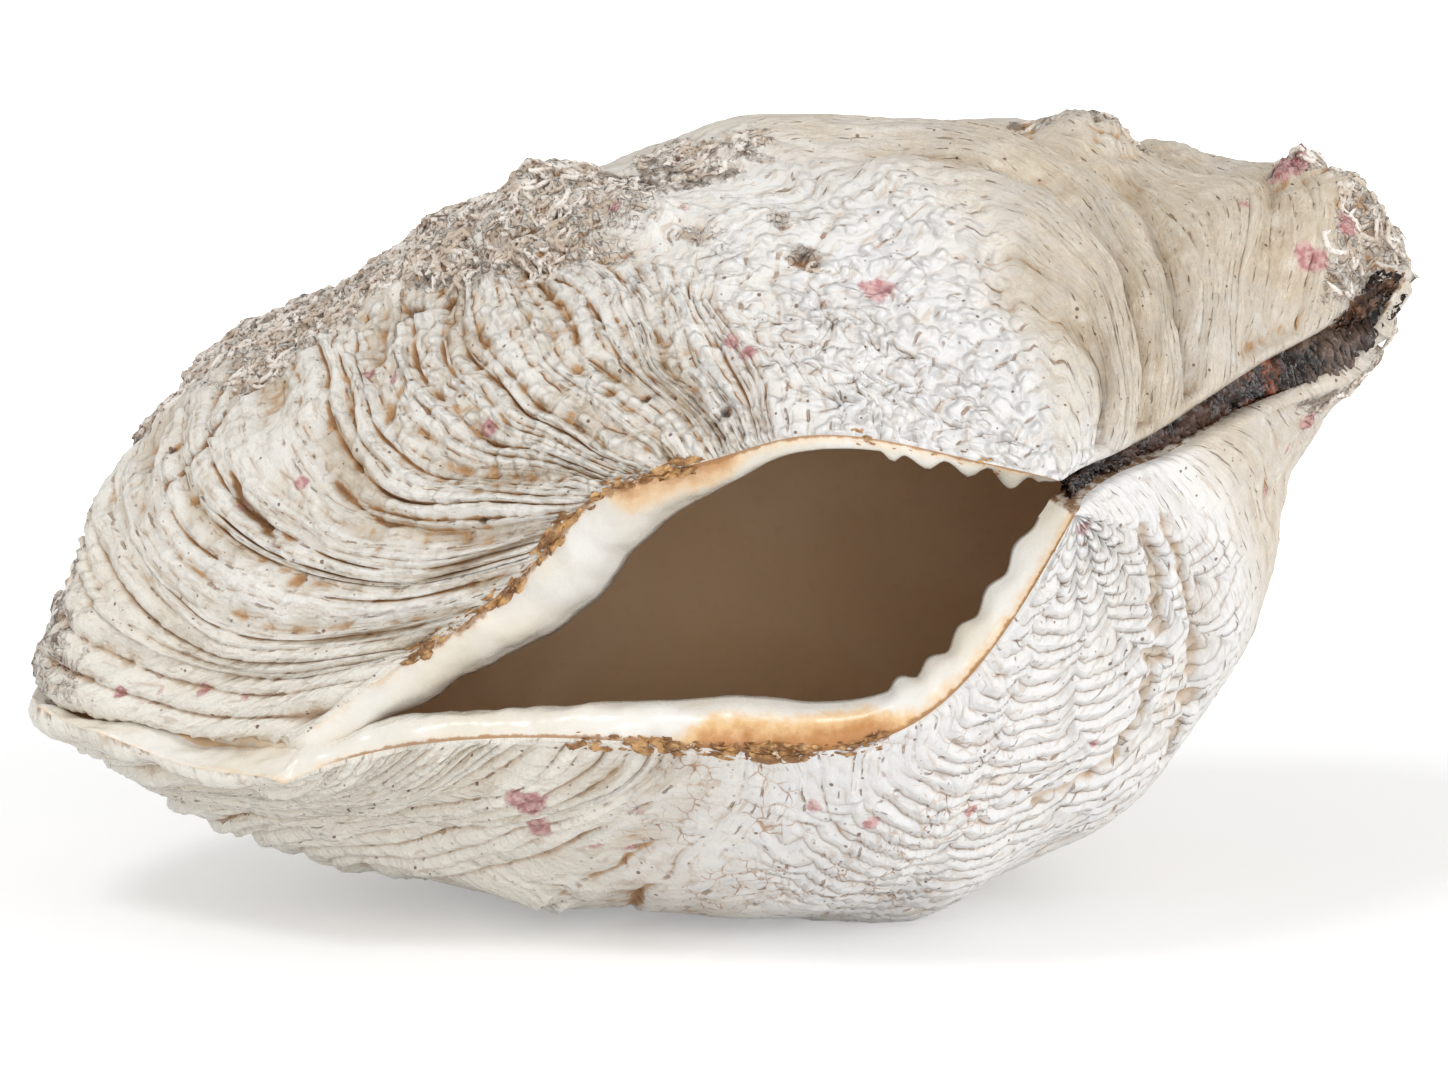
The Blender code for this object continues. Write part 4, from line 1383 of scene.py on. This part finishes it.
# %% Lip and inside materials
def lip_material(name, amber_strength):
    material, tree, shader = shell_material(name)
    place = place_in_mm(tree)
    share, amber, hinge = (mask_of(tree, label) for label in ("lip_share", "amber", "hinge"))
    soft = noise(tree, place, 0.07, 3.0)
    fine = noise(tree, place, 0.5, 4.0, 0.6)
    colour = mix(tree, ramp(tree, soft, 0.35, 0.65), paint(244, 241, 234), paint(238, 230, 214))
    reach = total(tree, share, product(tree, less(tree, fine, 0.5), 0.5), product(tree, amber, -0.55))
    stain = product(tree, ramp(tree, reach, 0.18, -0.22), amber_strength)
    colour = mix(tree, stain, colour, paint(240, 200, 146))
    deep_stain = product(tree, ramp(tree, reach, -0.1, -0.5), amber_strength)
    colour = mix(tree, deep_stain, colour, paint(196, 134, 74))
    edge = ramp(tree, total(tree, share, product(tree, less(tree, fine, 0.5), 0.2)), 0.09, 0.04)
    edge = product(tree, edge, ramp(tree, mask_of(tree, "growth"), 0.94, 0.86), 0.8)
    colour = mix(tree, edge, colour, paint(168, 118, 70))
    chalky = mix(tree, ramp(tree, fine, 0.42, 0.6), paint(150, 118, 88), paint(232, 222, 208))
    colour = mix(tree, hinge, colour, chalky)
    shader.inputs["Coat Weight"].default_value = 0.25
    shader.inputs["Coat Roughness"].default_value = 0.12
    wire_up(tree, shader, colour, ramp(tree, fine, 0.2, 0.8, 0.2, 0.34),
            total(tree, product(tree, soft, 1.2), product(tree, fine, 0.1)), 0.8)
    return material


def inside_material():
    material, tree, shader = shell_material("brown_inside")
    place = place_in_mm(tree)
    soft = noise(tree, place, 0.03, 3.0, 0.5, 0.4)
    fine = noise(tree, place, 0.6, 4.0, 0.6)
    colour = mix(tree, ramp(tree, soft, 0.3, 0.7), paint(236, 208, 172), paint(222, 190, 150))
    colour = mix(tree, ramp(tree, fine, 0.5, 0.8, 0.0, 0.25), colour, paint(206, 168, 128))
    wire_up(tree, shader, colour, ramp(tree, fine, 0.2, 0.8, 0.55, 0.75),
            total(tree, product(tree, soft, 2.0), product(tree, fine, 0.1)), 0.6)
    return material


lip_finish = {1: lip_material("upper_lip", 0.8), -1: lip_material("lower_lip", 1.0)}
inside_finish = inside_material()
print("materials", len(bpy.data.materials))

# %% Carve both valves
CARVING = {1: {"Seed": 1.0},
           -1: {"Seed": 4.0, "Blob Height": 0.15, "Roll Height": 1.7, "Riblet Height": 0.2,
                "Comb Height": 0.5, "Crinkle Height": 0.3, "Scale Tidy": 1.0, "Crack Depth": 0.35,
                "Wave Depth": 2.0, "Crust Height": 0.6}}
skins = {}
for side, body in plain.items():
    finishes = {"Skin": skin_finish[side], "Lip": lip_finish[side], "Inside": inside_finish}
    skins[side] = grow(body.name.replace("skin", "shell"), body, relief, {**CARVING[side], **finishes})
    bpy.data.objects.remove(body)
    print(skins[side].name, len(skins[side].data.vertices), "points")

# %% [markdown]
# ## Worm tubes on the crust
# The crest and the tips are overgrown by little curled tubes that worms and snails cement to the
# shell. Geometry Nodes scatters arcs over the crusted zones, lets noise bend each one another way,
# lays them on the skin and gives them a round section.

# %% Worm tubes
TUBE_SIZES = {"Tubes per m2": 170000.0, "Arc Radius": 1.5, "Tube Radius": 0.45, "Wander": 2.2}
TUBE_POINTS = 9
TUBE_SIDES = 5
TUBE_SWEEP = math.radians(210)
TUBE_BENDS = 420.0
HIGHEST = (0.0999, 0.0602, 0.113)
LOWEST = (-0.0999, -0.0602, 0.0)


def tube_tree():
    tree, given = new_tree("worm_tubes", {**TUBE_SIZES, "Seed": 1, "Finish": bpy.data.materials[0]})
    thick = ramp(tree, named(tree, "crust"), 0.4, 0.9)
    points = node(tree, "GeometryNodeDistributePointsOnFaces",
                  {"Mesh": given["Geometry"], "Density": product(tree, given["Tubes per m2"], thick),
                   "Seed": given["Seed"]})
    sweep = node(tree, "GeometryNodeCurveArc",
                 {"Resolution": TUBE_POINTS, "Radius": product(tree, given["Arc Radius"], MM),
                  "Sweep Angle": TUBE_SWEEP})
    size = node(tree, "FunctionNodeRandomValue", {2: 0.45, 3: 1.75, "Seed": given["Seed"]},
                data_type="FLOAT")
    laid = node(tree, "GeometryNodeInstanceOnPoints",
                {"Points": points.outputs["Points"], "Instance": sweep.outputs[0],
                 "Rotation": points.outputs["Rotation"], "Scale": size.outputs[1]})
    spin = node(tree, "FunctionNodeRandomValue", {2: 0.0, 3: 2 * math.pi}, data_type="FLOAT").outputs[1]
    spun = node(tree, "GeometryNodeRotateInstances", {"Instances": laid.outputs[0],
                                                      "Rotation": combine(tree, 0.0, 0.0, spin)})
    curves = node(tree, "GeometryNodeRealizeInstances", {"Geometry": spun.outputs[0]}).outputs[0]
    bent = shake(tree, curves, TUBE_BENDS, product(tree, given["Wander"], 2 * MM), 1.0)
    skin = node(tree, "GeometryNodeProximity", {0: given["Geometry"]}, target_element="FACES")
    stuck = node(tree, "GeometryNodeSetPosition", {"Geometry": bent, "Position": skin.outputs[0]})
    along = node(tree, "GeometryNodeSplineParameter").outputs["Factor"]
    taper = ramp(tree, math_node(tree, "ABSOLUTE", less(tree, along, 0.5)), 0.5, 0.3, 0.35, 1.0)
    ring = node(tree, "GeometryNodeCurvePrimitiveCircle", {"Resolution": TUBE_SIDES, "Radius": 1.0})
    tubes = node(tree, "GeometryNodeCurveToMesh",
                 {"Curve": stuck.outputs[0], "Profile Curve": ring.outputs[0],
                  "Scale": product(tree, taper, given["Tube Radius"], MM), "Fill Caps": True})
    return put_out(tree, hold_between(tree, tubes.outputs[0], LOWEST, HIGHEST), given["Finish"])


def crust_material():
    material, tree, shader = shell_material("worm_crust")
    place = place_in_mm(tree)
    patchy = noise(tree, place, 0.25, 4.0, 0.65)
    fine = noise(tree, place, 1.2, 3.0, 0.6)
    colour = mix(tree, ramp(tree, patchy, 0.38, 0.62), paint(247, 241, 233), paint(208, 190, 171))
    colour = mix(tree, ramp(tree, fine, 0.5, 0.68), colour, paint(128, 102, 82))
    # Specks painted dark as the shade in tiny holes.
    specks = use(tree, holes, {"Vector": place, "Spacing": 1.5, "Radius": 0.25, "Share": 0.3})["Holes"]
    colour = mix(tree, product(tree, specks, 0.7), colour, paint(90, 68, 52))
    wire_up(tree, shader, colour, ramp(tree, fine, 0.3, 0.7, 0.55, 0.8), product(tree, fine, 0.3))
    return material


crust_finish = crust_material()
tubes_tree = tube_tree()
tube_pieces = {}
for side, name in ((1, "upper_worm_tubes"), (-1, "lower_worm_tubes")):
    tube_pieces[side] = grow(name, skins[side], tubes_tree, {"Seed": 7 + side, "Finish": crust_finish})
    print(name, len(tube_pieces[side].data.polygons), "faces")

# %% [markdown]
# ## Ligament
# A band of dark horn joins the two hinge edges. It has dried, cracked and split into fibres, and
# where it is thin an amber colour is painted in for the light that comes through. Its rings lie
# between the two hinge faces, so it fits them exactly, and noise along its length makes the splits.

# %% Ligament mesh
# Down the hinge face, a ring reaches from its recess at the outside to this share of the wall.
LIGAMENT_INNER = 0.9
LIGAMENT_ENDS = (0.03, 0.985)
LIGAMENT_STEPS = 220
LIGAMENT_AROUND = 26


def hinge_edge(side, growth):
    column = np.zeros_like(growth)
    outer, _ = outer_points(side, column, growth)
    return outer, inner_points(side, column, growth)


def ligament_mesh():
    growth = np.linspace(*LIGAMENT_ENDS, LIGAMENT_STEPS + 1)
    (top, top_inner), (low, low_inner) = hinge_edge(1, growth), hinge_edge(-1, growth)
    recess = 0.42 - 0.30 * smooth_step(0.66, 0.84, growth)
    swell = 0.10 + 0.35 * band(growth, 0.74, 0.95, 0.08)
    rings = []
    for k in range(LIGAMENT_AROUND):
        angle = 2 * np.pi * k / LIGAMENT_AROUND
        rise = 0.5 - 0.56 * np.cos(angle)
        half = (LIGAMENT_INNER - recess) / 2
        depth = (LIGAMENT_INNER + recess) / 2 - half * np.sin(angle) * (1 + swell)
        near_top = top + (top_inner - top) * depth[:, None]
        near_low = low + (low_inner - low) * depth[:, None]
        rings.append(near_low + (near_top - near_low) * rise)
    points = np.array(rings).transpose(1, 0, 2).reshape(-1, 3)
    faces = [list(range(LIGAMENT_AROUND))]
    faces.append([LIGAMENT_STEPS * LIGAMENT_AROUND + k for k in reversed(range(LIGAMENT_AROUND))])
    for step in range(LIGAMENT_STEPS):
        for k in range(LIGAMENT_AROUND):
            a = step * LIGAMENT_AROUND + k
            b = step * LIGAMENT_AROUND + (k + 1) % LIGAMENT_AROUND
            faces.append([a, a + LIGAMENT_AROUND, b + LIGAMENT_AROUND, b])
    mesh = bpy.data.meshes.new("ligament_band")
    mesh.from_pydata((points * MM).tolist(), [], faces)
    add_attribute(mesh, "along", np.repeat(growth, LIGAMENT_AROUND))
    mesh.shade_smooth()
    made = bpy.data.objects.new("ligament_band", mesh)
    bpy.context.scene.collection.objects.link(made)
    return made


def ligament_tree():
    tree, given = new_tree("ligament_splits", {"Split Depth": 1.0, "Fibre Height": 0.35,
                                               "Finish": bpy.data.materials[0]})
    in_mm = vector_node(tree, "SCALE", position(tree), factor=1 / MM)
    bent = vector_node(tree, "MULTIPLY_ADD", in_mm, noise_colour(tree, in_mm, 0.3), (4.0, 4.0, 4.0))
    gap = voronoi(tree, bent, 0.22, "DISTANCE_TO_EDGE")[0]
    split = product(tree, ramp(tree, gap, 0.16, 0.0), given["Split Depth"], -1.0)
    lumps = product(tree, less(tree, noise(tree, in_mm, 0.22, 2.0), 0.5), 2.8)
    fibres = product(tree, less(tree, noise(tree, in_mm, 0.9, 3.0), 0.5), given["Fibre Height"], 2.0)
    height = total(tree, split, lumps, fibres)
    moved = push_out(tree, store(tree, given["Geometry"], "relief", height), height)
    return put_out(tree, moved, given["Finish"])


def ligament_material():
    material, tree, shader = shell_material("dried_ligament")
    place = place_in_mm(tree)
    along, relief_mm = mask_of(tree, "along"), mask_of(tree, "relief")
    patchy = noise(tree, place, 0.25, 4.0, 0.6)
    streak = noise(tree, combine(tree, product(tree, along, 110.0), patchy), 1.0, 3.0)
    colour = mix(tree, ramp(tree, patchy, 0.35, 0.65), paint(36, 21, 13), paint(74, 46, 30))
    leather = product(tree, ramp(tree, along, 0.70, 0.75), ramp(tree, along, 0.86, 0.8))
    colour = mix(tree, product(tree, leather, 0.5), colour, paint(128, 106, 90))
    colour = mix(tree, product(tree, leather, ramp(tree, streak, 0.5, 0.66)), colour, paint(76, 50, 36))
    # Painted light: amber where light would shine through the thin horn.
    amber = product(tree, ramp(tree, along, 0.56, 0.6), ramp(tree, along, 0.68, 0.64))
    colour = mix(tree, product(tree, amber, ramp(tree, patchy, 0.4, 0.6)), colour, paint(150, 70, 28))
    # Painted shade: the splits are painted near black where the relief sinks.
    colour = mix(tree, ramp(tree, relief_mm, -0.2, -1.0), colour, paint(20, 11, 7))
    height = total(tree, product(tree, patchy, 0.8), product(tree, streak, 0.2))
    wire_up(tree, shader, colour, ramp(tree, patchy, 0.3, 0.7, 0.12, 0.42), height)
    return material


plain_ligament = ligament_mesh()
ligament = grow("dried_ligament", plain_ligament, ligament_tree(), {"Finish": ligament_material()})
bpy.data.objects.remove(plain_ligament)
print("ligament", len(ligament.data.polygons), "faces")

# %% [markdown]
# ## Flakes of skin along the rims
# A living clam has a thin brown skin over its shell. Dried shreds of it still cling along the rims
# of the gape. Geometry Nodes lays curled flakes along the rim curve, each one turned and sized by
# a seeded random and clumped by noise.


# %% Rim flakes
RIM_POINTS = 160
AT_GAPE, AT_HINGE = 0.999, 0.001


def rim_curve(side, low, high, at):
    """One rim of a valve as a chain of edges between two stages of growth."""
    growth = np.linspace(low, high, RIM_POINTS)
    around = np.full_like(growth, at)
    points, normals = outer_points(side, around, growth)
    points = sagged(side, points - normals * ROUNDING["gape"], around, growth)
    mesh = bpy.data.meshes.new("rim")
    mesh.from_pydata((points * MM).tolist(), [(k, k + 1) for k in range(len(points) - 1)], [])
    made = bpy.data.objects.new("rim", mesh)
    bpy.context.scene.collection.objects.link(made)
    return made


FLAKE_WRINKLES = 900.0


def flake_tree():
    tree, given = new_tree("rim_flakes", {"Flakes": 200, "Length": 3.0, "Scatter": 1.0, "Seed": 1,
                                          "Finish": bpy.data.materials[0]})
    rim = node(tree, "GeometryNodeMeshToCurve", {"Mesh": given["Geometry"]})
    points = node(tree, "GeometryNodeCurveToPoints", {"Curve": rim.outputs[0], "Count": given["Flakes"]},
                  mode="COUNT")
    spread = node(tree, "FunctionNodeRandomValue", {0: (-1, -1, -1), 1: (1, 1, 1), "Seed": given["Seed"]},
                  data_type="FLOAT_VECTOR").outputs[0]
    offset = vector_node(tree, "SCALE", spread, factor=product(tree, given["Scatter"], MM))
    strewn = node(tree, "GeometryNodeSetPosition", {"Geometry": points.outputs["Points"], "Offset": offset})
    sheet = node(tree, "GeometryNodeMeshCube", {"Size": (1.0, 0.34, 0.05), "Vertices X": 5, "Vertices Y": 3,
                                                "Vertices Z": 2}).outputs[0]
    x, y, z = node(tree, "ShaderNodeSeparateXYZ", {0: position(tree)}).outputs
    narrow = less(tree, 1.0, product(tree, x, x, 2.6))
    curl = total(tree, z, product(tree, x, x, 0.9), product(tree, y, y, 1.2))
    shaped = combine(tree, x, product(tree, y, narrow), curl)
    curled = node(tree, "GeometryNodeSetPosition", {"Geometry": sheet, "Position": shaped})
    size = node(tree, "FunctionNodeRandomValue", {2: 0.45, 3: 1.3, "Seed": 5}, data_type="FLOAT").outputs[1]
    clumps = noise(tree, position(tree), 130.0)
    size = product(tree, size, ramp(tree, clumps, 0.35, 0.65, 0.25, 1.3))
    laid = node(tree, "GeometryNodeInstanceOnPoints",
                {"Points": strewn.outputs[0], "Instance": curled.outputs[0],
                 "Rotation": points.outputs["Rotation"], "Scale": product(tree, size, given["Length"], MM)})
    turn = node(tree, "FunctionNodeRandomValue", {0: (-0.5, 1.25, -0.4), 1: (0.9, 1.85, 0.4), "Seed": 9},
                data_type="FLOAT_VECTOR").outputs[0]
    turned = node(tree, "GeometryNodeRotateInstances", {"Instances": laid.outputs[0], "Rotation": turn})
    real = node(tree, "GeometryNodeRealizeInstances", {"Geometry": turned.outputs[0]})
    ragged = shake(tree, real.outputs[0], FLAKE_WRINKLES, 1.2 * MM)
    return put_out(tree, hold_between(tree, ragged, LOWEST, HIGHEST), given["Finish"])


def flake_material(name, pale, dark, dust):
    material, tree, shader = shell_material(name)
    place = place_in_mm(tree)
    patchy = noise(tree, place, 0.5, 4.0, 0.6)
    colour = mix(tree, ramp(tree, patchy, 0.35, 0.6), pale, dark)
    colour = mix(tree, ramp(tree, patchy, 0.62, 0.72), colour, dust)
    wire_up(tree, shader, colour, ramp(tree, patchy, 0.3, 0.7, 0.3, 0.55), product(tree, patchy, 0.5))
    return material


flakes_tree = flake_tree()
FLAKE_FINISH = {
    AT_GAPE: flake_material("skin_flakes", paint(214, 168, 110), paint(132, 90, 52), paint(236, 214, 178)),
    AT_HINGE: flake_material("dark_flakes", paint(112, 78, 50), paint(58, 37, 25), paint(170, 140, 112))}
# Name, side, growth from and to, count, length in mm, and which rim.
FLAKE_RUNS = (("lower_rim_flakes", -1, 0.22, 0.58, 400, 3.0, AT_GAPE),
              ("upper_rim_flakes", 1, 0.40, 0.90, 340, 2.4, AT_GAPE),
              ("beak_rim_flakes", 1, 0.03, 0.16, 50, 1.2, AT_GAPE),
              ("hinge_flakes", 1, 0.80, 0.97, 110, 2.8, AT_HINGE))
flake_pieces = []
for name, side, low, high, count, length, at in FLAKE_RUNS:
    rim = rim_curve(side, low, high, at)
    values = {"Flakes": count, "Length": length, "Finish": FLAKE_FINISH[at]}
    flake_pieces.append(grow(name, rim, flakes_tree, values))
    bpy.data.objects.remove(rim)
print("flakes", sum(len(piece.data.polygons) for piece in flake_pieces), "faces")

# %% [markdown]
# ## The pieces on one body
# Nothing on a dead shell moves, so every piece rides the one body. Each skin stands in for its plain
# solid, and what grew or clings on a valve shares that valve's slot.

# %% Bodies and slots
pieces = {"upper_valve": [skins[1], tube_pieces[1], *flake_pieces[1:]],
          "lower_valve": [skins[-1], tube_pieces[-1], flake_pieces[0]], "ligament": [ligament]}
for slot, group in pieces.items():
    for piece in group:
        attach(piece, "root")
    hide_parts(slot)
    print(slot, [piece.name for piece in group])
